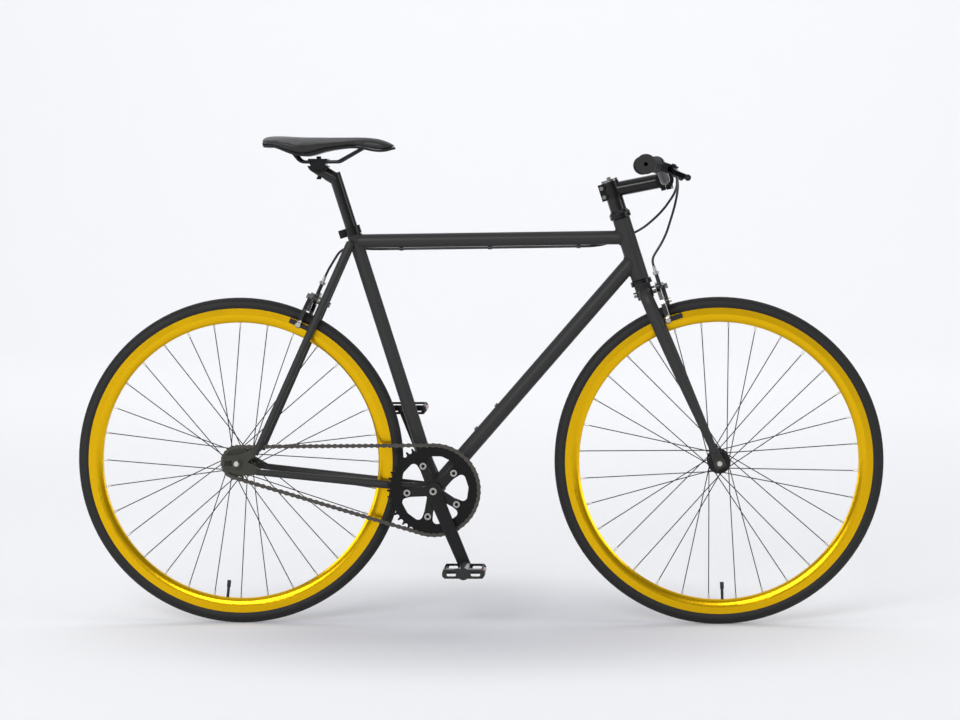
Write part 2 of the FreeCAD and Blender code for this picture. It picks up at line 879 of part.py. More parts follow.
CHAIN_STAY_ROOT = BOTTOM - Y_AXIS * size("chain_stay_root_offset")
CHAIN_STAY_END = REAR + Vector(
    size("track_end_chain_reach - stay_tip_inset"), -TRACK_OFFSET, size("-track_end_chain_drop"))
chain_stay_outer, chain_stay = stay("chain_stay", CHAIN_STAY_ROOT, CHAIN_STAY_END, "chain_stay_root_diameter",
                                    "chain_stay_end_diameter", [shell_cutter, seat_cutter])
SEAT_STAY_ROOT = SEAT_TOP - SEAT_UP * size("seat_stay_drop") - Vector(
    size("seat_stay_setback"), size("seat_stay_root_offset"), 0)
SEAT_STAY_END = REAR + Vector(
    size("track_end_seat_reach - stay_tip_inset / 2"), -TRACK_OFFSET,
    size("track_end_seat_rise - stay_tip_inset"))
seat_stay_outer, seat_stay = stay("seat_stay", SEAT_STAY_ROOT, SEAT_STAY_END, "seat_stay_root_diameter",
                                  "seat_stay_end_diameter", [seat_cutter])


def stay_point(root, end, share):
    return root + (end - root) * share


def bridge(name, diameter, place, outer):
    """A cross tube between a right-hand stay and its twin."""
    right = Vector(place.x, place.y, place.z)
    rod_piece = cylinder(name + "_rod", f"{diameter} / 2", abs(2 * place.y), right, Y_AXIS)
    return cut(name, rod_piece, [outer, mirrored(name + "_twin", outer)])


def share_at_radius(root, end, radius):
    """Where a stay, seen from the side, is at a radius from the rear axle."""
    low, high = 0.0, 1.0
    for _ in range(60):
        middle = (low + high) / 2
        place = stay_point(root, end, middle) - REAR
        if math.hypot(place.x, place.z) > radius:
            low = middle
        else:
            high = middle
    return middle


BRAKE_BRIDGE = stay_point(SEAT_STAY_ROOT, SEAT_STAY_END,
                          share_at_radius(SEAT_STAY_ROOT, SEAT_STAY_END, size("brake_bridge_radius")))
CHAIN_BRIDGE = stay_point(CHAIN_STAY_ROOT, CHAIN_STAY_END,
                          size("chain_bridge_setback") / (CHAIN_STAY_ROOT.x - CHAIN_STAY_END.x))
STAY_UP = unit(Vector(SEAT_STAY_ROOT.x - SEAT_STAY_END.x, 0, SEAT_STAY_ROOT.z - SEAT_STAY_END.z))
STAY_BACK = Vector(-STAY_UP.z, 0, STAY_UP.x)
pair("chain_stays", chain_stay)
pair("seat_stays", seat_stay)
brake_bridge_hole = cylinder("brake_bridge_hole", "calliper_bolt_diameter / 2 + running_gap",
                             "brake_bridge_diameter + cut_overrun * 2",
                             Vector(BRAKE_BRIDGE.x, 0, BRAKE_BRIDGE.z)
                             - STAY_BACK * size("brake_bridge_diameter / 2 + cut_overrun"), STAY_BACK)
brake_bridge_bar = bridge("brake_bridge_bar", "brake_bridge_diameter", BRAKE_BRIDGE, seat_stay_outer)
brake_bridge = cut("brake_bridge", brake_bridge_bar, [brake_bridge_hole])
chain_bridge = bridge("chain_bridge", "chain_bridge_diameter", CHAIN_BRIDGE, chain_stay_outer)
keep("stay_bridges", group("stay_bridge_group", [brake_bridge, chain_bridge]))

# Rim section: a flat brake track over a bulged wall, with a bed for the tyre
RIM_TOP = "(bead_seat_diameter / 2 + rim_flange_height)"
RIM_BED = "(bead_seat_diameter / 2 - rim_bed_drop)"
RIM_TRACK = f"({RIM_TOP} - rim_track_depth)"
RIM_LOW = f"({RIM_TOP} - rim_depth)"
RIM_HALF = "(rim_width / 2)"
RIM_APEX = "(rim_apex_width / 2)"
RIM_NARROWING = f"({RIM_HALF} - {RIM_APEX})"
RIM_BULGE = f"((({RIM_TRACK} - {RIM_LOW})^2 + {RIM_NARROWING}^2) / (2 * {RIM_NARROWING}))"
BULGE_LEVEL = f"({RIM_HALF} - {RIM_BULGE})"
RIM_INSIDE = f"({RIM_HALF} - rim_wall)"
CAVITY_APEX = (f"({BULGE_LEVEL} + sqrt(({RIM_BULGE} - rim_wall)^2"
               f" - ({RIM_TRACK} - {RIM_LOW} - rim_wall)^2))")
RIM_LOOPS = [
    [
        (RIM_TOP, RIM_HALF),
        (RIM_TRACK, RIM_HALF, (RIM_TRACK, BULGE_LEVEL)),
        (RIM_LOW, RIM_APEX),
        (RIM_LOW, f"-{RIM_APEX}", (RIM_TRACK, f"-{BULGE_LEVEL}")),
        (RIM_TRACK, f"-{RIM_HALF}"),
        (RIM_TOP, f"-{RIM_HALF}"),
        (RIM_TOP, f"-{RIM_INSIDE}"),
        (RIM_BED, f"-{RIM_INSIDE}"),
        (RIM_BED, RIM_INSIDE),
        (RIM_TOP, RIM_INSIDE),
    ],
    [
        (f"{RIM_BED} - rim_wall", RIM_INSIDE),
        (RIM_TRACK, RIM_INSIDE, (RIM_TRACK, BULGE_LEVEL)),
        (f"{RIM_LOW} + rim_wall", CAVITY_APEX),
        (f"{RIM_LOW} + rim_wall", f"-{CAVITY_APEX}", (RIM_TRACK, f"-{BULGE_LEVEL}")),
        (RIM_TRACK, f"-{RIM_INSIDE}"),
        (f"{RIM_BED} - rim_wall", f"-{RIM_INSIDE}"),
    ],
]

# Tyre section: a round casing that stands on the rim and two beads inside it
TYRE_HALF = "(tyre_width / 2)"
TYRE_CENTRE = f"(bead_seat_diameter / 2 + {TYRE_HALF})"
TYRE_FOOT = f"({RIM_TOP} + weld_gap)"
TYRE_FOOT_HALF = f"sqrt({TYRE_HALF}^2 - ({TYRE_CENTRE} - {TYRE_FOOT})^2)"
TYRE_INSIDE = f"({TYRE_HALF} - tyre_wall)"
BEAD_OUT = f"({RIM_INSIDE} - weld_gap)"
BEAD_IN = f"({BEAD_OUT} - tyre_bead_wall)"
BEAD_LOW = f"({RIM_BED} + weld_gap)"
BEAD_TOP = f"({TYRE_CENTRE} - sqrt({TYRE_INSIDE}^2 - {BEAD_IN}^2))"
TYRE_MIDDLE = (TYRE_CENTRE, "0")
TYRE_LOOPS = [[
    (TYRE_FOOT, TYRE_FOOT_HALF, TYRE_MIDDLE),
    (f"{TYRE_CENTRE} + {TYRE_HALF}", "0", TYRE_MIDDLE),
    (TYRE_FOOT, f"-{TYRE_FOOT_HALF}"),
    (TYRE_FOOT, f"-{BEAD_OUT}"),
    (BEAD_LOW, f"-{BEAD_OUT}"),
    (BEAD_LOW, f"-{BEAD_IN}"),
    (BEAD_TOP, f"-{BEAD_IN}", TYRE_MIDDLE),
    (f"{TYRE_CENTRE} + {TYRE_INSIDE}", "0", TYRE_MIDDLE),
    (BEAD_TOP, BEAD_IN),
    (BEAD_LOW, BEAD_IN),
    (BEAD_LOW, BEAD_OUT),
    (TYRE_FOOT, BEAD_OUT),
]]

FLANGE_IN = "(hub_flange_offset - hub_flange_thickness / 2)"
FLANGE_OUT = "(hub_flange_offset + hub_flange_thickness / 2)"


def hub_loop(axle_diameter, length, end_diameter):
    """Half of a hub shell's section, round its axle."""
    bore = f"({axle_diameter} / 2 + running_gap)"
    end = f"({length} / 2)"
    seat = f"({end} - hub_bearing_length)"
    outline = [
        (bore, end),
        (f"{end_diameter} / 2", end),
        (f"{end_diameter} / 2", FLANGE_OUT),
        ("hub_flange_diameter / 2", FLANGE_OUT),
        ("hub_flange_diameter / 2", FLANGE_IN),
        ("hub_barrel_diameter / 2", FLANGE_IN),
        ("hub_waist_diameter / 2", "0"),
        ("hub_barrel_diameter / 2", f"-{FLANGE_IN}"),
        ("hub_flange_diameter / 2", f"-{FLANGE_IN}"),
        ("hub_flange_diameter / 2", f"-{FLANGE_OUT}"),
        (f"{end_diameter} / 2", f"-{FLANGE_OUT}"),
        (f"{end_diameter} / 2", f"-{end}"),
        (bore, f"-{end}"),
        (bore, f"-{seat}"),
        ("hub_cavity_diameter / 2", f"-{seat}"),
        ("hub_cavity_diameter / 2", seat),
        (bore, seat),
    ]
    return [outline]


SPOKE_PAIRS = int(size("spoke_pairs"))
HOLE_STEP = FULL_TURN / SPOKE_PAIRS
HOLE_RADIUS = size("hub_hole_circle / 2")
SPOKE_RADIUS = size("spoke_diameter / 2")
SPOKE_HOLE = size("spoke_diameter / 2 + spoke_hole_gap")
FLANGE_EDGE = size("hub_flange_diameter / 2") + SPOKE_HOLE
FLANGE_RUN = math.sqrt(FLANGE_EDGE ** 2 - HOLE_RADIUS ** 2)
SPOKE_DRIFT = FLANGE_RUN * size(FLANGE_OUT) / size(RIM_LOW)


def spoke_ends(side, outside, hub_angle, rim_angle):
    """The elbow at the hub flange, the far end of its stub, and the rim hole."""
    outer_face = size(FLANGE_OUT) + SPOKE_HOLE + (SPOKE_DRIFT if outside else 0)
    inner_face = size(FLANGE_IN) - SPOKE_HOLE
    elbow, stub = (outer_face, inner_face) if outside else (inner_face, outer_face)
    return (polar(HOLE_RADIUS, hub_angle, side * elbow), polar(HOLE_RADIUS, hub_angle, side * stub),
            polar(size(RIM_LOW), rim_angle, side * size("rim_hole_offset")))


def spoke(side, outside, hub_angle, rim_angle):
    """One bent spoke with its head at the hub flange and its nipple at the rim."""
    elbow, stub, hole = spoke_ends(side, outside, hub_angle, rim_angle)
    run = unit(hole - elbow)
    through = unit(stub - elbow)
    tip = hole + run * size("nipple_sink")
    head_end = stub + through * size("spoke_head_length")
    shapes = [
        rod(elbow, tip - run * size("nipple_length / 2"), SPOKE_RADIUS),
        Part.makeSphere(SPOKE_RADIUS, elbow),
        rod(elbow, stub, SPOKE_RADIUS),
        rod(stub, head_end, size("spoke_head_diameter / 2")),
        rod(tip - run * size("nipple_length"), tip, size("nipple_diameter / 2")),
    ]
    return shapes[0].multiFuse(shapes[1:]).removeSplitter().Solids[0]


def lacing(start_angle):
    """Side, place on the flange, hub angle and rim angle of each spoke of a wheel."""
    cross_angle = size("spoke_crosses") * HOLE_STEP
    for side, shift in ((-1, 0.0), (1, HOLE_STEP / 2)):
        for hole in range(SPOKE_PAIRS):
            hub_angle = start_angle + shift + hole * HOLE_STEP
            outside = hole % 2 == 0
            yield side, outside, hub_angle, hub_angle + (cross_angle if outside else -cross_angle)


def spoke_set(start_angle):
    return Part.makeCompound([spoke(*place) for place in lacing(start_angle)])


def rim_holes(start_angle, valve_angle):
    """Cutters for the nipples and the valve."""
    holes = []
    overrun = size("cut_overrun")
    for place in lacing(start_angle):
        elbow, _, hole = spoke_ends(*place)
        run = unit(hole - elbow) * overrun
        holes.append(rod(hole - run, hole + run, size("nipple_diameter / 2 + spoke_hole_gap")))
    inner = polar(size(RIM_LOW) - overrun, valve_angle)
    outer = polar(size(RIM_TOP) + overrun, valve_angle)
    holes.append(rod(inner, outer, size("valve_diameter / 2 + running_gap")))
    return Part.makeCompound(holes)


def flange_holes(start_angle):
    """Cutters for the spokes' stubs through both hub flanges."""
    holes = []
    for side, _, hub_angle, _ in lacing(start_angle):
        inner = polar(HOLE_RADIUS, hub_angle, side * (size(FLANGE_IN) - SPOKE_RADIUS))
        outer = polar(HOLE_RADIUS, hub_angle, side * (size(FLANGE_OUT) + SPOKE_RADIUS))
        holes.append(rod(inner, outer, SPOKE_HOLE))
    return Part.makeCompound(holes)


def inner_tube(valve_angle):
    """A hollow inner tube with its valve stem and cap."""
    radius = size(f"{TYRE_INSIDE} - inner_tube_gap")
    centre = size(TYRE_CENTRE)
    wall = size("inner_tube_wall")
    tip = size(f"{RIM_LOW} - valve_length")
    stem_radius = size("valve_diameter / 2")
    casing = Part.makeTorus(centre, radius, Vector(), Y_AXIS)
    hollow = Part.makeTorus(centre, radius - wall, Vector(), Y_AXIS)
    stem = rod(polar(tip, valve_angle), polar(centre - radius + wall / 2, valve_angle), stem_radius)
    bore = rod(polar(tip, valve_angle), polar(centre, valve_angle), size("valve_bore / 2"))
    tube = casing.fuse(stem).cut(hollow.fuse(bore))
    cap_end = tip - size("valve_cap_end")
    cap = rod(polar(cap_end, valve_angle), polar(cap_end + size("valve_cap_length"), valve_angle),
              size("valve_cap_diameter / 2"))
    socket = rod(polar(tip - size("running_gap"), valve_angle),
                 polar(centre - radius, valve_angle), stem_radius + size("running_gap"))
    return Part.makeCompound([tube.Solids[0], cap.cut(socket).Solids[0]])


def wheel(prefix, place, axle_diameter, hub_length, end_diameter, valve_angle):
    """A wheel about the Y axis, then set at its axle."""
    start_angle = valve_angle + HOLE_STEP / 4
    rim_blank = revolved(prefix + "_rim_blank", RIM_LOOPS)
    rim_tools = solid(prefix + "_rim_holes", rim_holes(start_angle, valve_angle))
    hub_blank = revolved(prefix + "_hub_blank", hub_loop(axle_diameter, hub_length, end_diameter))
    hub_tools = solid(prefix + "_hub_holes", flange_holes(start_angle))
    pieces = {
        "rim": cut(prefix + "_rim_cut", rim_blank, [rim_tools]),
        "hub": cut(prefix + "_hub_cut", hub_blank, [hub_tools]),
        "tyre": revolved(prefix + "_tyre_ring", TYRE_LOOPS),
        "spokes": solid(prefix + "_spoke_set", spoke_set(start_angle)),
        "inner_tube": solid(prefix + "_tube_ring", inner_tube(valve_angle)),
    }
    for name, piece in pieces.items():
        piece.Placement.Base = place
        keep(f"{prefix}_{name}", piece)


wheel("front", FRONT, "front_axle_diameter", "front_hub_length", "hub_end_diameter",
      size("front_valve_angle"))
wheel("rear", REAR, "rear_axle_diameter", "rear_hub_length", "rear_carrier_diameter",
      size("rear_valve_angle"))


def axle(label, place, diameter, spacing, hub_length, plate):
    """An axle with its cones, and a nut with its washer at each end."""
    radius = size(f"{diameter} / 2")
    face = size(f"{spacing} / 2")
    outer = size(f"{spacing} / 2 + {plate}")
    nut_face = outer + size("washer_thickness")
    end = nut_face + size("axle_nut_height + axle_stub")
    thread_end = nut_face + size("axle_nut_height")
    shapes = [rod(Y_AXIS * -thread_end, Y_AXIS * thread_end, radius)]
    nuts = []
    for side in (-1, 1):
        out = Y_AXIS * side
        shapes.append(rod(out * thread_end, out * end, radius - size("axle_stub_step")))
        cone_start = size(f"{hub_length} / 2 + moving_gap")
        shapes.append(rod(out * cone_start, out * face, size("cone_diameter / 2")))
        washer = rod(out * outer, out * nut_face, size("washer_diameter / 2"))
        nut = hexagon(size("axle_nut_width"), size("axle_nut_height"), out * nut_face, out)
        bore = rod(out * face, out * end, radius + size("running_gap"))
        nuts.append(washer.fuse(nut).cut(bore).removeSplitter().Solids[0])
    shaft = shapes[0].multiFuse(shapes[1:]).removeSplitter().Solids[0]
    return keep(label, solid(label + "_set", Part.makeCompound([shaft] + nuts), Placement(place, Rotation())))


axle("front_axle", FRONT, "front_axle_diameter", "front_spacing", "front_hub_length", "fork_tip_thickness")
axle("rear_axle", REAR, "rear_axle_diameter", "rear_spacing", "rear_hub_length", "track_end_thickness")

# Chain line: the straight runs touch both pitch circles
LEAN, RUN, ON_RING, ON_COG = chain_spans(CHAIN_DISTANCE)
TO_COG = unit(REAR - BOTTOM)
COG_ANGLE = math.degrees(math.atan2(TO_COG.z, TO_COG.x))
TOP_ANGLE = COG_ANGLE - FULL_TURN / 4 + math.degrees(LEAN)
LOW_ANGLE = COG_ANGLE + FULL_TURN / 4 - math.degrees(LEAN)


def chain_point(step):
    """The centre of a roller, counted in pitches from the ring's top tangent point."""
    if step < RUN:
        start = BOTTOM + polar(RING_RADIUS, TOP_ANGLE)
        return start + (REAR + polar(COG_RADIUS, TOP_ANGLE) - start) * (step / RUN)
    if step < RUN + ON_COG:
        return REAR + polar(COG_RADIUS, TOP_ANGLE + (step - RUN) * FULL_TURN / COG_TEETH)
    if step < 2 * RUN + ON_COG:
        start = REAR + polar(COG_RADIUS, LOW_ANGLE)
        return start + (BOTTOM + polar(RING_RADIUS, LOW_ANGLE) - start) * ((step - RUN - ON_COG) / RUN)
    return BOTTOM + polar(RING_RADIUS, LOW_ANGLE + (step - 2 * RUN - ON_COG) * FULL_TURN / RING_TEETH)


RING_PHASE = LOW_ANGLE + (math.ceil(2 * RUN + ON_COG) - 2 * RUN - ON_COG) * FULL_TURN / RING_TEETH
COG_PHASE = TOP_ANGLE + (math.ceil(RUN) - RUN) * FULL_TURN / COG_TEETH


def toothed_wire(teeth, phase):
    """The outline of a toothed wheel, with a round seat for each roller."""
    radius = pitch_radius(teeth)
    seat = size("roller_diameter / 2 + roller_gap")
    tip = radius + size("tooth_height")
    tip_half = tip * math.sin(math.pi / teeth) - size("tooth_tip_width / 2")
    edges = []

    def gap_point(number, sideways, outward):
        angle = phase + number * FULL_TURN / teeth
        return polar(outward, angle) + polar(sideways, angle + FULL_TURN / 4)

    for number in range(teeth):
        low_tip = gap_point(number, -tip_half, tip)
        low = gap_point(number, -seat, radius)
        bottom = gap_point(number, 0, radius - seat)
        high = gap_point(number, seat, radius)
        high_tip = gap_point(number, tip_half, tip)
        edges.append(Part.LineSegment(low_tip, low).toShape())
        edges.append(Part.Arc(low, bottom, high).toShape())
        edges.append(Part.LineSegment(high, high_tip).toShape())
        edges.append(Part.LineSegment(high_tip, gap_point(number + 1, -tip_half, tip)).toShape())
    return Part.Wire(edges)


def rounded_loop(points, radius):
    """A closed outline with one corner radius."""
    middles = [(points[index - 1] + points[index]) * 0.5 for index in range(len(points))]
    edges = []
    for index, corner in enumerate(points):
        following = middles[(index + 1) % len(points)]
        edges += rounded_wire([middles[index], corner, following], [0, radius, 0]).Edges
    return Part.Wire(edges)


def circle_wire(centre, radius):
    return Part.Wire(Part.Circle(centre, Y_AXIS, radius).toShape())


def holed_plate(outline, holes, middle, thickness):
    """A plate in the wheel plane, centred on a level of Y."""
    blank = Part.Face(outline).extrude(Y_AXIS * thickness)
    tools = [Part.Face(hole).extrude(Y_AXIS * thickness) for hole in holes]
    shape = blank.cut(Part.makeCompound(tools)).Solids[0]
    shape.translate(Y_AXIS * (middle - thickness / 2))
    return shape


CHAINLINE = size("chainline")
TOOTH_THICKNESS = size("tooth_thickness")
CRANK_ANGLE = size("crank_angle")
SPIDER_STEP = FULL_TURN / 5
SPIDER_ANGLES = [CRANK_ANGLE + SPIDER_STEP * (number + 0.5) for number in range(5)]
BOLT_RADIUS = size("bolt_circle / 2")
WINDOW_INNER_SPREAD_SHARE = 0.34
WINDOW_OUTER_SPREAD_SHARE = 0.36


def ring_window(angle):
    """One opening of the chainring between two bolt tabs."""
    inner = size("ring_tab_radius") - size("cut_overrun")
    outer = size("ring_window_radius")
    corners = [
        polar(inner, angle - SPIDER_STEP * WINDOW_INNER_SPREAD_SHARE),
        polar(outer, angle - SPIDER_STEP * WINDOW_OUTER_SPREAD_SHARE),
        polar(outer, angle),
        polar(outer, angle + SPIDER_STEP * WINDOW_OUTER_SPREAD_SHARE),
        polar(inner, angle + SPIDER_STEP * WINDOW_INNER_SPREAD_SHARE),
    ]
    return rounded_loop(corners, size("ring_window_corner"))


ring_holes = [circle_wire(Vector(), size("ring_tab_radius"))]
for angle in SPIDER_ANGLES:
    ring_holes.append(circle_wire(polar(BOLT_RADIUS, angle), size("ring_bolt_diameter / 2 + running_gap")))
    ring_holes.append(ring_window(angle + SPIDER_STEP / 2))
ring_shape = holed_plate(toothed_wire(RING_TEETH, RING_PHASE), ring_holes, -CHAINLINE, TOOTH_THICKNESS)
keep("chainring", solid("chainring_plate", ring_shape, Placement(BOTTOM, Rotation())))

cog_bore = circle_wire(Vector(), size("rear_carrier_diameter / 2 + running_gap"))
cog_shape = holed_plate(toothed_wire(COG_TEETH, COG_PHASE), [cog_bore], -CHAINLINE, TOOTH_THICKNESS)
lock_middle = -CHAINLINE - TOOTH_THICKNESS / 2 - size("lockring_thickness / 2")
lock_shape = holed_plate(circle_wire(Vector(), size("lockring_diameter / 2")), [cog_bore], lock_middle,
                         size("lockring_thickness"))
sprocket_shape = Part.makeCompound([cog_shape, lock_shape])
keep("rear_sprocket", solid("sprocket_set", sprocket_shape, Placement(REAR, Rotation())))


def chain_link(outer):
    """A link along X: two plates with rollers between them, or with pins through them."""
    plate = size("link_plate_thickness")
    inner_face = size("roller_width / 2")
    if outer:
        inner_face += plate + size("link_plate_gap")
    ends = [Vector(), Vector(PITCH, 0, 0)]
    half = size("link_plate_height / 2")
    depth = size("link_waist_depth")
    waist = (size("link_waist_length / 2") ** 2 + depth ** 2) / (2 * depth)
    outline = capsule(ends[0], ends[1], half, half)
    for side in (-1, 1):
        centre = Vector(PITCH / 2, side * (half - depth + waist), 0)
        outline = outline.cut(Part.Face(Part.Wire(Part.Circle(centre, Z_AXIS, waist).toShape()))).Faces[0]
    shapes = []
    for low in (inner_face, -inner_face - plate):
        side = outline.extrude(Vector(0, 0, plate))
        side.translate(Vector(0, 0, low))
        shapes.append(side)
    pin = size("pin_diameter / 2")
    end = inner_face + plate + (size("pin_end") if outer else 0)
    core = pin if outer else size("roller_diameter / 2")
    for place in ends:
        shapes.append(Part.makeCylinder(core, 2 * end, place - Z_AXIS * end))
    link = shapes[0].multiFuse(shapes[1:]).removeSplitter()
    if not outer:
        bore = pin + size("link_plate_gap * 2")
        link = link.cut(Part.makeCompound([
            Part.makeCylinder(bore, 2 * end, place - Z_AXIS * end) for place in ends]))
    return link.Solids[0]


links = [chain_link(False), chain_link(True)]
chain_pieces = []
for number in range(LINKS):
    start = chain_point(number)
    ahead = unit(chain_point((number + 1) % LINKS) - start)
    link = links[number % 2].copy()
    link.Placement = axes(start - Y_AXIS * CHAINLINE, ahead, Vector(-ahead.z, 0, ahead.x), -Y_AXIS)
    chain_pieces.append(link)
keep("chain", solid("chain_loop", Part.makeCompound(chain_pieces)))

# Bottom bracket cups and spindle
CUP_END = "(shell_width / 2 + cup_flange_thickness)"
bracket_cup = revolved("bracket_cup", [[
    ("spindle_diameter / 2 + running_gap", "shell_width / 2 - cup_depth"),
    ("shell_bore / 2 - weld_gap", "shell_width / 2 - cup_depth"),
    ("shell_bore / 2 - weld_gap", "shell_width / 2"),
    ("cup_flange_diameter / 2", "shell_width / 2"),
    ("cup_flange_diameter / 2", CUP_END),
    ("spindle_diameter / 2 + running_gap", CUP_END),
]])
bracket_cup.Placement.Base = BOTTOM
pair("bottom_bracket_cups", bracket_cup)

HUB_IN = size("chainline - tooth_thickness / 2 - crank_hub_set_in")
HUB_OUT = HUB_IN + size("crank_hub_depth")
ARM_ROOT = HUB_OUT - size("crank_root_thickness / 2")
ARM_END = ARM_ROOT + size("crank_flare")
ARM_END_IN = ARM_END - size("crank_end_thickness / 2")
ARM_END_OUT = ARM_END + size("crank_end_thickness / 2")
SPINDLE_SHOULDER = HUB_IN - size("running_gap")
SPINDLE_END = SPINDLE_SHOULDER + size("spindle_square_length")
BOLT_START = HUB_OUT - size("crank_bolt_length")


def square_bar(width, start, end):
    """A square bar along Z."""
    half = width / 2
    return box(Vector(-half, -half, start), Vector(half, half, end))


def spindle_shape():
    """The spindle along Z, with square ends drilled for the crank bolts."""
    parts = [rod(Z_AXIS * -SPINDLE_SHOULDER, Z_AXIS * SPINDLE_SHOULDER, size("spindle_diameter / 2"))]
    holes = []
    for side in (-1, 1):
        ends = sorted((side * SPINDLE_SHOULDER, side * SPINDLE_END))
        parts.append(square_bar(size("spindle_square"), *ends))
        hole_start = side * (BOLT_START - size("running_gap"))
        holes.append(rod(Z_AXIS * hole_start, Z_AXIS * side * SPINDLE_END,
                         size("crank_bolt_diameter / 2 + running_gap")))
    return parts[0].multiFuse(parts[1:]).cut(Part.makeCompound(holes)).removeSplitter().Solids[0]


RIGHT_ARM = polar(1, CRANK_ANGLE)
RIGHT_FRAME = axes(BOTTOM, RIGHT_ARM, (-Y_AXIS).cross(RIGHT_ARM), -Y_AXIS)
LEFT_FRAME = axes(BOTTOM, -RIGHT_ARM, Y_AXIS.cross(-RIGHT_ARM), Y_AXIS)
keep("crank_spindle", solid("spindle_bar", spindle_shape(), RIGHT_FRAME))


def arm_section(reach, middle, width, thickness):
    """A rounded section across a crank arm that lies along X."""
    corners = []
    for across, outward in ((-1, -1), (1, -1), (1, 1), (-1, 1)):
        corners.append(Vector(reach, across * width / 2, middle + outward * thickness / 2))
    return rounded_loop(corners, size("crank_edge"))


def crank_shape(with_spider):
    """A crank arm along X, with its outer face towards Z."""
    length = size("crank_length")
    root_width = size("crank_root_width")
    end_width = size("crank_end_width")
    end_thickness = size("crank_end_thickness")
    arm = Part.makeLoft([
        arm_section(0, ARM_ROOT, root_width, size("crank_root_thickness")),
        arm_section(length / 2, (ARM_ROOT + ARM_END) / 2, (root_width + end_width) / 2,
                    (size("crank_root_thickness") + end_thickness) / 2),
        arm_section(length, ARM_END, end_width, end_thickness),
    ], True, True)
    tip = Vector(length, 0, 0)
    shapes = [
        rod(Z_AXIS * HUB_IN, Z_AXIS * HUB_OUT, size("crank_hub_diameter / 2")),
        rod(tip + Z_AXIS * ARM_END_IN, tip + Z_AXIS * ARM_END_OUT, end_width / 2),
    ]
    holes = [
        square_bar(size("spindle_square + running_gap * 2"), HUB_IN, HUB_OUT),
        rod(Z_AXIS * HUB_OUT, Z_AXIS * (HUB_OUT + size("crank_bolt_head_height")),
            size("crank_bolt_head / 2 + running_gap")),
        rod(tip + Z_AXIS * ARM_END_IN, tip + Z_AXIS * ARM_END_OUT,
            size("pedal_thread_diameter / 2 + running_gap")),
    ]
    if with_spider:
        low = CHAINLINE + TOOTH_THICKNESS / 2
        thickness = size("spider_thickness")
        for angle in SPIDER_ANGLES:
            turn = math.radians(angle - CRANK_ANGLE)
            end = Vector(math.cos(turn), math.sin(turn), 0) * BOLT_RADIUS
            shapes.append(bar([Vector(), end], [size("spider_root_width / 2"), size("spider_end_width / 2")],
                              thickness, low))
            holes.append(rod(end + Z_AXIS * low, end + Z_AXIS * (low + thickness),
                             size("ring_bolt_diameter / 2 + running_gap")))
    return arm.multiFuse(shapes).removeSplitter().cut(Part.makeCompound(holes)).Solids[0]


keep("crank_right", solid("crank_right_arm", crank_shape(True), RIGHT_FRAME))
keep("crank_left", solid("crank_left_arm", crank_shape(False), LEFT_FRAME))


def ring_bolt(angle):
    """A chainring bolt with a flat head on each side."""
    place = polar(BOLT_RADIUS, angle)
    inner = CHAINLINE - TOOTH_THICKNESS / 2
    outer = CHAINLINE + TOOTH_THICKNESS / 2 + size("spider_thickness")
    head = size("ring_bolt_head_height")
    ends = [(inner - head, inner, "ring_bolt_head"), (inner, outer, "ring_bolt_diameter"),
            (outer, outer + head, "ring_bolt_head")]
    shapes = [rod(place - Y_AXIS * low, place - Y_AXIS * high, size(f"{diameter} / 2"))
              for low, high, diameter in ends]
    return shapes[0].multiFuse(shapes[1:]).removeSplitter().Solids[0]


def crank_bolt(side):
    """The bolt that holds a crank on its square."""
    out = Y_AXIS * side
    head = rod(out * HUB_OUT, out * (HUB_OUT + size("crank_bolt_head_height")), size("crank_bolt_head / 2"))
    shank = rod(out * BOLT_START, out * HUB_OUT, size("crank_bolt_diameter / 2"))
    return head.fuse(shank).removeSplitter().Solids[0]


crank_bolt_shapes = [ring_bolt(angle) for angle in SPIDER_ANGLES] + [crank_bolt(side) for side in (-1, 1)]
crank_bolt_set = Part.makeCompound(crank_bolt_shapes)
keep("crank_bolts", solid("crank_bolt_set", crank_bolt_set, Placement(BOTTOM, Rotation())))

# Pedals: an alloy cage with toothed front and rear plates about a barrel
PEDAL_START = ARM_END_OUT + size("pedal_shoulder + moving_gap")
PEDAL_WIDTH = size("pedal_width")
PEDAL_PLACES = {"right": (-1, BOTTOM + RIGHT_ARM * size("crank_length")),
                "left": (1, BOTTOM - RIGHT_ARM * size("crank_length"))}


def toothed_plate(front):
    """A serrated plate across the pedal; front is the level of X of its rear face."""
    teeth = int(size("pedal_teeth"))
    half = size("pedal_height / 2")
    valley = half - size("pedal_tooth_depth")
    levels = [half if number % 2 == 0 else valley for number in range(2 * teeth + 1)]
    step = PEDAL_WIDTH / (2 * teeth)
    upper = [Vector(front, number * step, level) for number, level in enumerate(levels)]
    lower = [Vector(front, point.y, -point.z) for point in reversed(upper)]
    outline = Part.makePolygon(upper + lower + [upper[0]])
    return Part.Face(outline).extrude(X_AXIS * size("pedal_plate"))


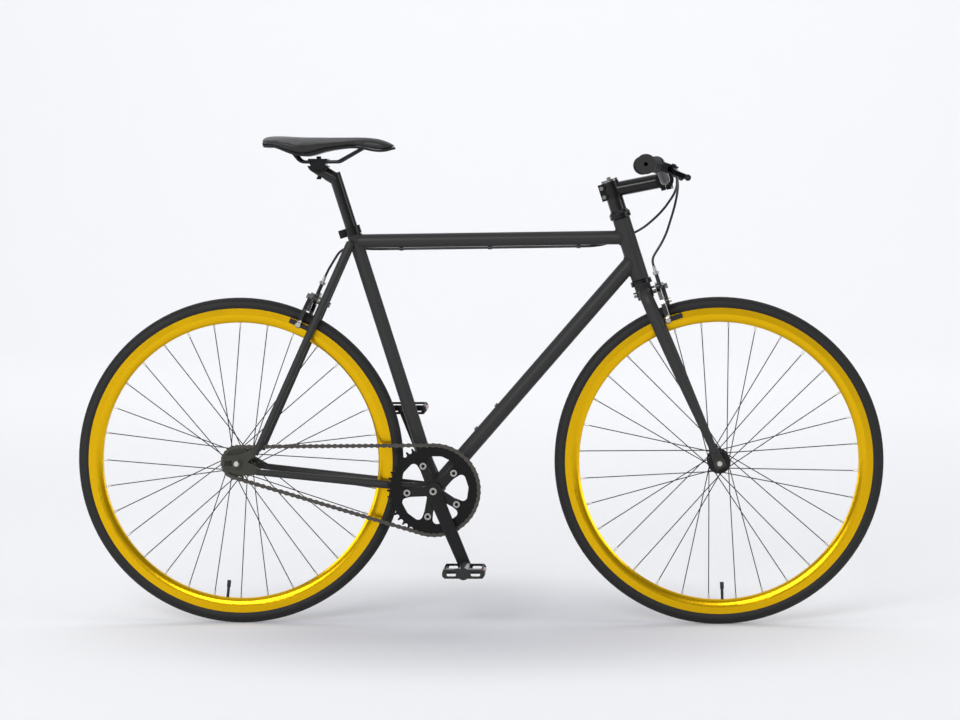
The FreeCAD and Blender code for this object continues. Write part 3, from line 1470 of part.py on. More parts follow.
def pedal_solids():
    """The cage and its two reflectors, with the axle along Y from the inner face."""
    half_length = size("pedal_length / 2")
    half_height = size("pedal_height / 2")
    plate = size("pedal_plate")
    inset = half_length - size("pedal_reflector_depth")
    corners = [Vector(x * half_length, 0, z * half_height) for x, z in ((-1, -1), (1, -1), (1, 1), (-1, 1))]
    cheek = Part.Face(rounded_loop(corners, size("pedal_corner"))).extrude(Y_AXIS * plate)
    window_half = size("pedal_window_height / 2")
    for side in (-1, 1):
        edges = sorted((side * size("pedal_window_start"), side * size("pedal_window_end")))
        window = [Vector(edges[0], 0, -window_half), Vector(edges[1], 0, -window_half),
                  Vector(edges[1], 0, window_half), Vector(edges[0], 0, window_half)]
        opening = Part.Face(rounded_loop(window, size("pedal_window_corner")))
        cheek = cheek.cut(opening.extrude(Y_AXIS * plate))
    outer_cheek = cheek.copy()
    outer_cheek.translate(Y_AXIS * (PEDAL_WIDTH - plate))
    barrel = rod(Vector(), Y_AXIS * PEDAL_WIDTH, size("pedal_barrel_diameter / 2"))
    web = box(Vector(-inset, (PEDAL_WIDTH - size("pedal_web_width")) / 2, size("-pedal_web_thickness / 2")),
              Vector(inset, (PEDAL_WIDTH + size("pedal_web_width")) / 2, size("pedal_web_thickness / 2")))
    bore = rod(Vector(), Y_AXIS * (PEDAL_WIDTH - plate), size("pedal_spindle_diameter / 2 + running_gap"))
    cage = cheek.multiFuse([outer_cheek, barrel, web, toothed_plate(inset - plate), toothed_plate(-inset)])
    solids = [cage.removeSplitter().cut(bore).Solids[0]]
    half_span = size("pedal_reflector_length / 2")
    half_tall = size("pedal_reflector_height / 2")
    for low, high in ((inset, half_length), (-half_length, -inset)):
        solids.append(box(Vector(low, PEDAL_WIDTH / 2 - half_span, -half_tall),
                          Vector(high, PEDAL_WIDTH / 2 + half_span, half_tall)))
    return Part.makeCompound(solids)


def pedal_spindle(side, place):
    """A pedal axle screwed into the crank's end."""
    out = Y_AXIS * side
    shoulder = ARM_END_OUT + size("pedal_shoulder")
    end = PEDAL_START + PEDAL_WIDTH - size("pedal_plate + moving_gap")
    shapes = [
        rod(place + out * ARM_END_IN, place + out * ARM_END_OUT, size("pedal_thread_diameter / 2")),
        rod(place + out * ARM_END_OUT, place + out * shoulder, size("pedal_shoulder_diameter / 2")),
        rod(place + out * shoulder, place + out * end, size("pedal_spindle_diameter / 2")),
    ]
    return shapes[0].multiFuse(shapes[1:]).removeSplitter().Solids[0]


pedal_blank = pedal_solids()
for side_name, (side, place) in PEDAL_PLACES.items():
    shape = pedal_blank if side > 0 else pedal_blank.mirror(Vector(), Y_AXIS)
    start = Placement(place + Y_AXIS * side * PEDAL_START, Rotation())
    keep(f"pedal_{side_name}", solid(f"pedal_{side_name}_cage", shape, start))
keep("pedal_spindles", solid("pedal_spindle_pair", Part.makeCompound(
    [pedal_spindle(side, place) for side, place in PEDAL_PLACES.values()])))

# Headset: pressed cups with their bearings, then a cover and spacers that turn with the fork
SKIRT_OUT = "(head_tube_diameter / 2 - head_tube_wall - weld_gap)"
SKIRT_IN = "(steerer_diameter / 2 + moving_gap)"
BEARING_OUT = "(bearing_diameter / 2 + running_gap)"
BEARING_LOW = "(cup_height - bearing_height)"
cup_loops = [[
    (SKIRT_IN, "-cup_skirt"),
    (SKIRT_OUT, "-cup_skirt"),
    (SKIRT_OUT, "0"),
    ("head_tube_diameter / 2", "0"),
    ("cup_diameter / 2", BEARING_LOW),
    ("cup_diameter / 2", "cup_height"),
    (BEARING_OUT, "cup_height"),
    (BEARING_OUT, BEARING_LOW),
    (SKIRT_IN, BEARING_LOW),
]]
bearing_loops = [ring_loop("steerer_diameter / 2 + running_gap", "bearing_diameter / 2", BEARING_LOW,
                           "cup_height")]
headset_pieces = []
for end_name, height, direction in (("lower", HEAD_BOTTOM, -STEER_UP), ("upper", HEAD_TOP, STEER_UP)):
    for piece_name, loops in (("cup", cup_loops), ("bearing", bearing_loops)):
        piece = revolved(f"{end_name}_{piece_name}", loops, "XZ_Plane")
        piece.Placement = along(on_steerer(height), direction)
        headset_pieces.append(piece)
keep("headset", group("headset_set", headset_pieces))

STEERER_BORE = "(steerer_diameter / 2 + running_gap)"
cover = revolved("headset_cover", [[
    (STEERER_BORE, "moving_gap"),
    ("cup_diameter / 2", "moving_gap"),
    ("cup_diameter / 2", "cover_edge"),
    ("spacer_diameter / 2", "cover_height"),
    (STEERER_BORE, "cover_height"),
]], "XZ_Plane")
cover.Placement = along(on_steerer(HEAD_TOP + size("cup_height")), STEER_UP)
spacers = [cover]
for number in range(int(size("spacer_count"))):
    spacer_loop = ring_loop(STEERER_BORE, "spacer_diameter / 2", "0", "spacer_height")
    spacer = revolved(f"spacer_{number}", [spacer_loop],
                      "XZ_Plane")
    base = HEAD_TOP + size("cup_height + cover_height") + number * size("spacer_height")
    spacer.Placement = along(on_steerer(base), STEER_UP)
    spacers.append(spacer)
keep("headset_spacers", group("spacer_set", spacers))

# Fork: blades run straight from the crown to the front axle
CROWN_CENTRE = on_steerer(size("crown_seat - crown_centre_drop"))
FORK_LINE = unit(FRONT - CROWN_CENTRE)
TIP_OFFSET = size("front_spacing / 2 + fork_tip_thickness / 2")
BLADE_TOP = CROWN_CENTRE + FORK_LINE * size("blade_top_drop") - Y_AXIS * size("blade_top_offset")
BLADE_END = FRONT - FORK_LINE * size("blade_above_axle") - Y_AXIS * TIP_OFFSET
BLADE_RUN = unit(BLADE_END - BLADE_TOP)
BLADE_AHEAD = unit(BLADE_RUN.cross(Y_AXIS))
BLADE_TAPER_SHARES = ((0, 1), (0.4, 0.96), (0.72, 0.46), (1, 0))
BLADE_BORE_SHARES = ((0, 1), (0.4, 0.96), (0.72, 0.46), (0.84, 0.26))


def blade_loft(taper_shares, wall):
    """A fork blade's taper through ellipses, less a wall."""
    wires = []
    for place_share, size_share in taper_shares:
        depth = size("blade_tip_depth / 2") + size_share * size("(blade_depth - blade_tip_depth) / 2")
        breadth = size("blade_tip_breadth / 2") + size_share * size("(blade_breadth - blade_tip_breadth) / 2")
        centre = BLADE_TOP + (BLADE_END - BLADE_TOP) * place_share
        wires.append(ellipse_wire(centre, BLADE_AHEAD, BLADE_RUN.cross(BLADE_AHEAD), depth - wall,
                                  breadth - wall))
    return Part.makeLoft(wires, True)


TIP_SLOT = "(front_axle_diameter / 2 + slot_gap)"
TIP_HALF = "(fork_tip_width / 2)"
fork_tip = padded("fork_tip", [[
    ("-fork_tip_root_width / 2", "fork_tip_tongue"),
    (f"-{TIP_HALF}", "0"),
    (f"-{TIP_HALF}", f"-{TIP_HALF}"),
    (f"-{TIP_SLOT}", f"-{TIP_HALF}"),
    (f"-{TIP_SLOT}", "0", ("0", "0")),
    (TIP_SLOT, "0"),
    (TIP_SLOT, f"-{TIP_HALF}"),
    (TIP_HALF, f"-{TIP_HALF}"),
    (TIP_HALF, "0"),
    ("fork_tip_root_width / 2", "fork_tip_tongue"),
]], "fork_tip_thickness")
FORK_AHEAD = unit(FORK_LINE.cross(Y_AXIS))
fork_tip.Placement = axes(FRONT - Y_AXIS * size("front_spacing / 2"), FORK_AHEAD, -FORK_LINE, -Y_AXIS)
blade_shape = blade_loft(BLADE_TAPER_SHARES, 0).cut(blade_loft(BLADE_BORE_SHARES, size("stay_wall")))
blade = cut("fork_blade", solid("fork_blade_taper", blade_shape), [fork_tip])
keep("fork_blades", group("fork_blade_group", [blade, mirrored("fork_blade_left", blade),
                                              fork_tip, mirrored("fork_tip_left", fork_tip)]))
SHOULDER_REACH_SHARE = 0.8
SHOULDER_DROP_SHARE = 0.3


def shoulder():
    """One half of the crown: a curved arm from the steerer to the top of a blade."""
    depth = size("crown_depth / 2")
    height = size("crown_height / 2")
    bend = unit(BLADE_RUN - Y_AXIS)
    bend_ahead = unit(AHEAD + BLADE_AHEAD)
    bend_centre = (CROWN_CENTRE + FORK_LINE * size("blade_top_drop") * SHOULDER_DROP_SHARE
                   - Y_AXIS * size("blade_top_offset") * SHOULDER_REACH_SHARE)
    return Part.makeLoft([
        ellipse_wire(CROWN_CENTRE, AHEAD, STEER_UP, depth, height),
        ellipse_wire(bend_centre, bend_ahead, bend.cross(bend_ahead), depth,
                     (height + size("blade_breadth / 2")) / 2),
        ellipse_wire(BLADE_TOP, BLADE_AHEAD, BLADE_RUN.cross(BLADE_AHEAD), size("blade_depth / 2"),
                     size("blade_breadth / 2")),
    ], True)


BRAKE_HEIGHT = size("crown_seat - crown_centre_drop")
CROWN_RADIUS = size("crown_diameter / 2")


def fork_crown():
    """Steerer, crown and lower race in one forging, bored for the brake's bolt."""
    seat = size("crown_seat")
    right = shoulder()
    shapes = [
        right.mirror(Vector(), Y_AXIS),
        rod(on_steerer(seat - size("crown_drop")), on_steerer(seat), CROWN_RADIUS),
        rod(on_steerer(seat), on_steerer(seat + size("race_height - moving_gap")), size("cup_diameter / 2")),
        rod(on_steerer(seat), on_steerer(STEM_TOP - size("top_cap_height / 2")),
            size("steerer_diameter / 2")),
    ]
    bore = rod(on_steerer(seat), on_steerer(STEM_TOP), size("steerer_diameter / 2 - steerer_wall"))
    hole = rod(on_steerer(BRAKE_HEIGHT, -CROWN_RADIUS), on_steerer(BRAKE_HEIGHT, CROWN_RADIUS),
               size("calliper_bolt_diameter / 2 + running_gap"))
    return right.multiFuse(shapes).cut(bore.fuse(hole)).removeSplitter().Solids[0]


keep("fork_steerer", solid("fork_steerer_forging", fork_crown()))

# Stem: a clamp on the steerer, a body, and a clamp round the bar with its own front plate
STEM_TURN = math.radians(FULL_TURN / 4 - size("head_angle + stem_drop_angle"))
STEM_RUN = Vector(math.cos(STEM_TURN), 0, math.sin(STEM_TURN))
STEM_RISE = Vector(-math.sin(STEM_TURN), 0, math.cos(STEM_TURN))
STEM_ROOT = on_steerer((STEM_BOTTOM + STEM_TOP) / 2)
BAR = STEM_ROOT + STEM_RUN * size("stem_length")
CLAMP_FRAME = axes(STEM_ROOT, AHEAD, Y_AXIS, STEER_UP)
BAR_FRAME = axes(BAR, STEM_RUN, Y_AXIS, STEM_RISE)
EAR_BOLT_SHARE = 0.3
EAR_BOLT_RISE_SHARE = 0.27


def placed(shape, frame):
    """A copy of a shape carried into another frame."""
    result = shape.copy()
    result.Placement = frame.multiply(shape.Placement)
    return result


def block(length, width, height, centre):
    """A block about its own centre."""
    half = Vector(length / 2, width / 2, height / 2)
    return box(centre - half, centre + half)


def faceplate_bolt_places():
    spread = size("faceplate_bolt_spread / 2")
    rise = size("faceplate_bolt_rise")
    return [Vector(0, side * spread, up * rise) for side in (-1, 1) for up in (-1, 1)]


def ear_bolt_places():
    back = -size("stem_clamp_diameter / 2") - size("stem_ear") * EAR_BOLT_SHARE
    rise = size("stem_clamp_height") * EAR_BOLT_RISE_SHARE
    return [Vector(back, 0, up * rise) for up in (-1, 1)]


def clamp_block():
    """The bar clamp and its bolt bosses before the split."""
    half = Y_AXIS * size("bar_clamp_width / 2")
    boss = size("faceplate_boss")
    bosses = [block(size("faceplate_boss_depth * 2"), boss, boss, place) for place in faceplate_bolt_places()]
    return rod(-half, half, size("bar_clamp_diameter / 2")).multiFuse(bosses).removeSplitter()


def clamp_holes():
    """The bar's bore and the bolt holes across the split."""
    half = Y_AXIS * size("bar_clamp_width / 2")
    depth = X_AXIS * size("faceplate_boss_depth")
    radius = size("stem_bolt_diameter / 2 + running_gap")
    holes = [rod(-half, half, size("bar_centre_diameter / 2 + weld_gap"))]
    for place in faceplate_bolt_places():
        holes.append(rod(place - depth, place + depth, radius))
        holes.append(rod(place + depth, place + depth * 2, size("stem_bolt_head / 2 + running_gap")))
    return holes[0].multiFuse(holes[1:])


def split_block(start):
    """The half space in front of a level, as a block."""
    reach = size("bar_clamp_diameter")
    return box(Vector(start, -reach, -reach), Vector(reach, reach, reach))


def stem_shape():
    reach = size("stem_clamp_diameter / 2 + stem_ear")
    half_thick = size("stem_ear_thickness / 2")
    half_high = size("stem_clamp_height / 2")
    ear = box(Vector(-reach, -half_thick, -half_high), Vector(0, half_thick, half_high))
    half_slit = size("stem_slit / 2")
    slit = box(Vector(-reach, -half_slit, -half_high), Vector(0, half_slit, half_high))
    hole_radius = size("stem_bolt_diameter / 2 + running_gap")
    holes = [rod(place - Y_AXIS * half_thick, place + Y_AXIS * half_thick, hole_radius)
             for place in ear_bolt_places()]
    body = rod(on_steerer(STEM_BOTTOM), on_steerer(STEM_TOP), size("stem_clamp_diameter / 2")).multiFuse([
        rod(STEM_ROOT, BAR, size("stem_body_diameter / 2")),
        placed(clamp_block(), BAR_FRAME),
        placed(ear, CLAMP_FRAME),
    ])
    bores = [rod(on_steerer(STEM_BOTTOM), on_steerer(STEM_TOP), size("steerer_diameter / 2 + weld_gap")),
             placed(split_block(-size("faceplate_gap / 2")), BAR_FRAME), placed(clamp_holes(), BAR_FRAME)]
    bores += [placed(hole, CLAMP_FRAME) for hole in [slit] + holes]
    for bore in bores:
        body = body.cut(bore)
    return body.removeSplitter().Solids[0]


keep("stem", solid("stem_forging", stem_shape()))
plate_shape = clamp_block().common(split_block(size("faceplate_gap / 2"))).cut(clamp_holes())
keep("stem_faceplate", solid("stem_front_plate", plate_shape.removeSplitter().Solids[0], BAR_FRAME))


def headed_bolt(start, seat, direction, name):
    """A bolt from its thread's end to its seat, with a round head beyond."""
    head = rod(seat, seat + direction * size(f"{name}_head_height"), size(f"{name}_head / 2"))
    return rod(start, seat, size(f"{name}_diameter / 2")).fuse(head).removeSplitter().Solids[0]


def stem_bolt_shapes():
    depth = X_AXIS * size("faceplate_boss_depth")
    half_thick = Y_AXIS * size("stem_ear_thickness / 2")
    bolts = [placed(headed_bolt(place - depth, place + depth, X_AXIS, "stem_bolt"), BAR_FRAME)
             for place in faceplate_bolt_places()]
    bolts += [placed(headed_bolt(place + half_thick, place - half_thick, -Y_AXIS, "stem_bolt"), CLAMP_FRAME)
              for place in ear_bolt_places()]
    cap_top = STEM_TOP + size("top_cap_height")
    nut_level = cap_top - size("cap_bolt_length")
    bolts.append(headed_bolt(on_steerer(nut_level), on_steerer(cap_top), STEER_UP, "stem_bolt"))
    bore = size("stem_bolt_diameter / 2 + running_gap")
    for low, high, radius in ((STEM_TOP, cap_top, size("spacer_diameter / 2")),
                              (nut_level, nut_level + size("race_height"),
                               size("steerer_diameter / 2 - steerer_wall - weld_gap"))):
        disc = rod(on_steerer(low), on_steerer(high), radius)
        bolts.append(disc.cut(rod(on_steerer(low), on_steerer(high), bore)))
    return Part.makeCompound(bolts)


keep("stem_bolts", solid("stem_bolt_set", stem_bolt_shapes()))


# Riser bar with its grips
def bar_points(side):
    """The bar's corners on one side, from the stem outward."""
    return [
        BAR + Y_AXIS * side * size("bar_bend_start"),
        BAR + Vector(size("-bar_bend_sweep"), side * size("bar_bend_end"), size("bar_rise")),
        BAR + Vector(size("-bar_sweep"), side * size("bar_half_width"), size("bar_rise")),
    ]


def bar_shape():
    points = bar_points(-1)[::-1] + bar_points(1)
    radii = [0] + [size("bar_bend_radius")] * 4 + [0]
    half = Y_AXIS * size("bar_centre_length / 2")
    outer = tube_along(points, radii, size("bar_diameter / 2"))
    sleeve = rod(BAR - half, BAR + half, size("bar_centre_diameter / 2"))
    bore = tube_along(points, radii, size("bar_diameter / 2 - bar_wall"))
    return outer.fuse(sleeve).cut(bore).removeSplitter().Solids[0]


keep("handlebar", solid("handlebar_tube", bar_shape()))
BAR_END = bar_points(-1)[2]
OUTWARD = unit(BAR_END - bar_points(-1)[1])
GRIP_BORE = "(bar_diameter / 2 + weld_gap)"
RIB_START = "grip_flange_thickness * 2"
RIB_PITCH = "(grip_length - grip_flange_thickness * 3) / grip_ribs"
RIB_SHARE = 0.6
grip_loop = [
    ("grip_end_hole / 2", "0"),
    ("grip_flange_diameter / 2", "0"),
    ("grip_flange_diameter / 2", "grip_flange_thickness"),
    ("grip_diameter / 2", RIB_START),
]
for number in range(int(size("grip_ribs"))):
    grip_loop += [
        ("grip_diameter / 2", f"{RIB_START} + {RIB_PITCH} * {number + RIB_SHARE}"),
        ("grip_diameter / 2 - grip_rib_depth", f"{RIB_START} + {RIB_PITCH} * {number + RIB_SHARE}"),
        ("grip_diameter / 2 - grip_rib_depth", f"{RIB_START} + {RIB_PITCH} * {number + 1}"),
        ("grip_diameter / 2", f"{RIB_START} + {RIB_PITCH} * {number + 1}"),
    ]
grip_loop += [
    ("grip_diameter / 2", "grip_length"),
    (GRIP_BORE, "grip_length"),
    (GRIP_BORE, "grip_end_wall"),
    ("grip_end_hole / 2", "grip_end_wall"),
]
grip = revolved("grip_right", [grip_loop], "XZ_Plane")
grip.Placement = along(BAR_END + OUTWARD * size("grip_end_wall"), -OUTWARD)
pair("grips", grip)

# Brake levers on their perches: X runs outward along the bar, Y forward, Z across the lever
LEVEL_AHEAD = Z_AXIS.cross(OUTWARD)
TILT = math.radians(size("lever_tilt"))
LEVER_AHEAD = LEVEL_AHEAD * math.cos(TILT) - Z_AXIS * math.sin(TILT)
LEVER_UP = Z_AXIS * math.cos(TILT) + LEVEL_AHEAD * math.sin(TILT)
PERCH = BAR_END - OUTWARD * size("grip_length - grip_end_wall + lever_inboard")
LEVER_FRAME = axes(PERCH, OUTWARD, LEVER_AHEAD, LEVER_UP)
LEVER_PIVOT = Vector(size("-perch_set_in"), size("perch_reach"), 0)
HUB_RADIUS = size("lever_hub / 2")
NOSE_END = size("-(perch_set_in + perch_nose)")
ADJUSTER_END = Vector(NOSE_END - size("adjuster_length"), size("perch_reach"), 0)


def perch_shapes():
    """The perch and the pin that its lever turns on."""
    half_width = X_AXIS * size("perch_width / 2")
    half_height = size("perch_height / 2")
    slot = size("lever_thickness / 2 + perch_slot_gap")
    reach = size("lever_reach")
    wall = HUB_RADIUS + size("perch_slot_gap")
    pivot_radius = HUB_RADIUS + size("perch_cheek")
    nose_start = LEVER_PIVOT - X_AXIS * wall
    nose_end = Vector(NOSE_END, LEVER_PIVOT.y, 0)
    pin = size("lever_pin_diameter / 2")
    body_radii = [size("perch_body_width / 2"), pivot_radius]
    body = bar([Vector(), LEVER_PIVOT], body_radii, half_height * 2, -half_height)
    body = body.multiFuse([
        rod(-half_width, half_width, size("perch_diameter / 2")),
        rod(nose_start, nose_end, size("adjuster_boss_diameter / 2")),
        rod(nose_end, ADJUSTER_END, size("adjuster_diameter / 2")),
    ])
    bar_hole = rod(X_AXIS * -reach, X_AXIS * reach, size("bar_diameter / 2 + weld_gap"))
    mouth = box(LEVER_PIVOT - Vector(wall, wall, slot), Vector(reach, reach, slot))
    level = Z_AXIS * half_height
    pin_hole = rod(LEVER_PIVOT - level, LEVER_PIVOT + level, pin + size("running_gap"))
    perch = body.cut(bar_hole).cut(mouth).cut(pin_hole).removeSplitter().Solids[0]
    head = Z_AXIS * size("lever_pin_head_height")
    heads = [rod(LEVER_PIVOT + level * side, LEVER_PIVOT + (level + head) * side, size("lever_pin_head / 2"))
             for side in (-1, 1)]
    pivot_pin = rod(LEVER_PIVOT - level, LEVER_PIVOT + level, pin).multiFuse(heads).removeSplitter().Solids[0]
    return Part.makeCompound([perch, pivot_pin])


LEVER_SHARES = ((0, 0), (0.19, 0.14), (0.47, 0.28), (0.8, 0.51), (1, 1))
LEVER_WIDTHS = ("lever_hub", "lever_root_width", "lever_blade_width", "lever_blade_width",
                "lever_blade_width")


def lever_shape():
    span = size("lever_span + perch_set_in")
    rise = size("lever_reach - perch_reach")
    thickness = size("lever_thickness")
    points = [LEVER_PIVOT + Vector(span * across, rise * ahead, 0) for across, ahead in LEVER_SHARES]
    blade_bar = bar(points, [size(f"{width} / 2") for width in LEVER_WIDTHS], thickness, -thickness / 2)
    ball = Part.makeSphere(size("lever_ball / 2"), points[-1])
    level = Z_AXIS * thickness
    hole = rod(LEVER_PIVOT - level, LEVER_PIVOT + level, size("lever_pin_diameter / 2 + running_gap"))
    return blade_bar.fuse(ball).cut(hole).removeSplitter().Solids[0]


pair("lever_perches", solid("perch_right", perch_shapes(), LEVER_FRAME))
right_lever = keep("brake_lever_right", solid("brake_lever_right_blade", lever_shape(), LEVER_FRAME))
keep("brake_lever_left", mirrored("brake_lever_left_blade", right_lever))

# Side-pull callipers: X across, Y up, Z outward along the pivot bolt
ARM_SHARES = ((0, 0), (0.79, -0.12), (1, -0.46), (0.79, -1))
BARREL_ARM_SHARES = ((0, 0), (0.55, 0.9), (1, 1))
ANCHOR_ARM_SHARES = ((0, 0), (0.5, 0.12), (1, 1))
ARM_THICKNESS = size("calliper_arm_thickness")
FIRST_LAYER = size("calliper_spacer")
SECOND_LAYER = FIRST_LAYER + size("calliper_arm_thickness + calliper_layer_gap")
BETWEEN = SECOND_LAYER - size("calliper_layer_gap / 2")
CABLE_SIDE = size("-calliper_cable_offset")
BARREL_TOP = Vector(CABLE_SIDE, size("calliper_cable_rise + calliper_barrel_length"), BETWEEN)
PAD_INNER = size("rim_width / 2 + pad_rim_gap")
PAD_OUTER = PAD_INNER + size("pad_thickness")


def pad_reach(seat, axle, upward, outward):
    """How far below the pivot the pads meet the rim's brake track."""
    offset = seat + outward * BETWEEN - axle
    rise = offset.dot(upward)
    track = size(RIM_TOP) - size("rim_track_depth / 2")
    return rise - math.sqrt(rise ** 2 - offset.Length ** 2 + track ** 2)


def arm_bar(shares, width, height, radii, low):
    points = [Vector(width * across, height * up, 0) for across, up in shares]
    return bar(points, radii, ARM_THICKNESS, low)


def pad_arm(side, reach, low):
    """The arm from the pivot down to its pad, with the pad's post and nut."""
    half_width = side * size("calliper_half_width")
    hub = size("calliper_hub_diameter / 2")
    middle = size("calliper_arm_width / 2")
    end = size("calliper_arm_end_width / 2")
    shape = arm_bar(ARM_SHARES, half_width, reach, [hub, middle, middle, end], low)
    foot = Vector(half_width * ARM_SHARES[-1][0], -reach, low + ARM_THICKNESS / 2)
    out = X_AXIS * side
    post = rod(Vector(side * PAD_OUTER, -reach, foot.z), foot, size("pad_post_diameter / 2"))
    nut = hexagon(size("pad_nut_width"), end + size("pad_nut_height"), foot, out)
    return shape.multiFuse([post, nut])


def pad_block(side, frame, axle, reach):
    """A brake pad lying along the rim."""
    middle = frame.multVec(Vector(0, -reach, BETWEEN))
    across = frame.Rotation.multVec(X_AXIS)
    radial = unit(middle - axle)
    low, high = sorted((side * PAD_INNER, side * PAD_OUTER))
    half_height = size("pad_height / 2")
    half_length = size("pad_length / 2")
    pad = box(Vector(low, -half_height, -half_length), Vector(high, half_height, half_length))
    return placed(pad, axes(middle, across, radial, across.cross(radial)))


def calliper(name, seat, axle, upward, outward, depth):
    """Both arms of a brake and the bolt they turn on; depth is what the bolt passes through."""
    frame = axes(seat, upward.cross(outward), upward, outward)
    reach = pad_reach(seat, axle, upward, outward)
    hub = size("calliper_hub_diameter / 2")
    middle = size("calliper_arm_width / 2")
    barrel_radius = size("calliper_barrel_diameter / 2")
    bolt_radius = size("calliper_bolt_diameter / 2")
    wire_radius = size("wire_diameter / 2")
    end = SECOND_LAYER + ARM_THICKNESS
    pivot_hole = rod(Vector(), Z_AXIS * end, bolt_radius + size("running_gap"))

    barrel_arm = pad_arm(-1, reach, FIRST_LAYER)
    extension = arm_bar(BARREL_ARM_SHARES, CABLE_SIDE, size("calliper_cable_rise"),
                        [hub, middle, barrel_radius + size("wire_diameter")], FIRST_LAYER)
    barrel_foot = Vector(CABLE_SIDE, 0, BETWEEN)
    barrel = rod(barrel_foot, BARREL_TOP, barrel_radius)
    bore = rod(barrel_foot - Y_AXIS * hub, BARREL_TOP, size("calliper_barrel_bore / 2"))
    barrel_arm = barrel_arm.multiFuse([extension, barrel]).cut(bore).cut(pivot_hole)
    barrel_arm = barrel_arm.removeSplitter().Solids[0]
    barrel_pad = pad_block(-1, frame, axle, reach)
    keep(f"{name}_brake_barrel_arm", solid(f"{name}_barrel_arm", Part.makeCompound(
        [placed(barrel_arm, frame), barrel_pad])))

    anchor = Vector(CABLE_SIDE, size("-calliper_anchor_drop"), end)
    anchor_arm = pad_arm(1, reach, SECOND_LAYER)
    extension = arm_bar(ANCHOR_ARM_SHARES, CABLE_SIDE, anchor.y,
                        [hub, middle, size("calliper_anchor_head / 2 + wire_diameter / 2")], SECOND_LAYER)
    anchor_head = rod(anchor, anchor + Z_AXIS * size("calliper_anchor_height"),
                      size("calliper_anchor_head / 2"))
    anchor_arm = anchor_arm.multiFuse([extension, anchor_head]).cut(pivot_hole).removeSplitter().Solids[0]
    wire_end = Vector(CABLE_SIDE, anchor.y - size("wire_tail"), BETWEEN)
    wire = rod(wire_end, BARREL_TOP - Y_AXIS * size("wire_top_inset"), wire_radius)
    anchor_pad = pad_block(1, frame, axle, reach)
    keep(f"{name}_brake_anchor_arm", solid(f"{name}_anchor_arm", Part.makeCompound(
        [placed(anchor_arm, frame), anchor_pad, placed(wire, frame)])))

    gap = size("moving_gap")
    nut_height = size("calliper_nut_height")
    nut_width = size("calliper_nut_width")
    bolt = rod(Z_AXIS * -depth, Z_AXIS * (end + gap), bolt_radius).multiFuse([
        rod(Z_AXIS * size("weld_gap"), Z_AXIS * (FIRST_LAYER - gap), size("calliper_spacer_diameter / 2")),
        hexagon(nut_width, nut_height, Z_AXIS * (end + gap), Z_AXIS),
        rod(Z_AXIS * -(depth + nut_height), Z_AXIS * -depth, nut_width / 2),
    ]).removeSplitter().Solids[0]
    keep(f"{name}_brake_pivot", solid(f"{name}_brake_bolt", bolt, frame))
    print(f"{name} brake: pads {reach:.2f} mm below the pivot")
    return frame


front_seat = on_steerer(BRAKE_HEIGHT, CROWN_RADIUS)
front_brake = calliper("front", front_seat, FRONT, STEER_UP, AHEAD, CROWN_RADIUS * 2)
BRIDGE_RADIUS = size("brake_bridge_diameter / 2")
BRIDGE_MIDDLE = Vector(BRAKE_BRIDGE.x, 0, BRAKE_BRIDGE.z)
rear_seat = BRIDGE_MIDDLE + STAY_BACK * BRIDGE_RADIUS
rear_brake = calliper("rear", rear_seat, REAR, STAY_UP, STAY_BACK, BRIDGE_RADIUS * 2)

# Brake housing: from the levers to the callipers, with clips under the top tube
HOUSING_RADIUS = size("housing_diameter / 2")
HOUSING_SEAT = size("housing_seat")
TOP_RUN = unit(TOP_TUBE_REAR - TOP_TUBE_FRONT)
TOP_DOWN = Vector(-TOP_RUN.z, 0, TOP_RUN.x)
HOUSING_LINE = TOP_TUBE_FRONT + TOP_DOWN * (size("top_tube_diameter / 2 + housing_seat") + HOUSING_RADIUS)
FIRST_CLIP = size("first_clip_from_head")
CLIP_RUN = TOP_TUBE_FRONT.distanceToPoint(TOP_TUBE_REAR) - FIRST_CLIP - size("last_clip_from_seat")
CLIP_COUNT = int(size("clip_count"))
CLIP_REACHES = [FIRST_CLIP + CLIP_RUN * number / (CLIP_COUNT - 1) for number in range(CLIP_COUNT)]
LEVER_START = LEVER_FRAME.multVec(ADJUSTER_END)
LEFT_START = Vector(LEVER_START.x, -LEVER_START.y, LEVER_START.z)
LEFT_INWARD = Vector(-OUTWARD.x, OUTWARD.y, 0)
FRONT_ROUTE_SHARES = ((0.105, 0.1, -0.03), (0.08, -0.05, -0.17), (0.004, -0.14, -0.41))
STEERING_ROUTE_SHARES = ((0.09, -0.04, -0.075), (-0.015, 0.087, -0.23), (-0.15, 0.115, -0.35),
                         (-0.29, 0.098, -0.415), (-0.434, 0.056, -0.465))
REAR_ROUTE_SHARES = ((0.052, 0.055, -0.079), (-0.04, 0.07, -0.0686))


def route(origin, scale, shares):
    return [origin + Vector(*share) * scale for share in shares]


def housing(label, points):
    return keep(label, solid(label + "_run", tube_along(points, cord_radii(points), HOUSING_RADIUS)))


BAR_SCALE = size("bar_half_width")
START_RUN = size("adjuster_length")
APPROACH = size("housing_approach")
front_top = front_brake.multVec(BARREL_TOP)
housing("front_brake_housing", [LEFT_START + LEFT_INWARD * HOUSING_SEAT, LEFT_START + LEFT_INWARD * START_RUN]
        + route(BAR, BAR_SCALE, FRONT_ROUTE_SHARES)
        + [front_top + STEER_UP * APPROACH, front_top + STEER_UP * HOUSING_SEAT])
clip_start = HOUSING_LINE + TOP_RUN * (CLIP_REACHES[0] - size("clip_width / 2"))
housing("rear_steering_housing", [LEVER_START - OUTWARD * HOUSING_SEAT, LEVER_START - OUTWARD * START_RUN]
        + route(BAR, BAR_SCALE, STEERING_ROUTE_SHARES)
        + [clip_start - TOP_RUN * START_RUN, clip_start])
clip_finish = HOUSING_LINE + TOP_RUN * (CLIP_REACHES[-1] + size("clip_leave_run"))
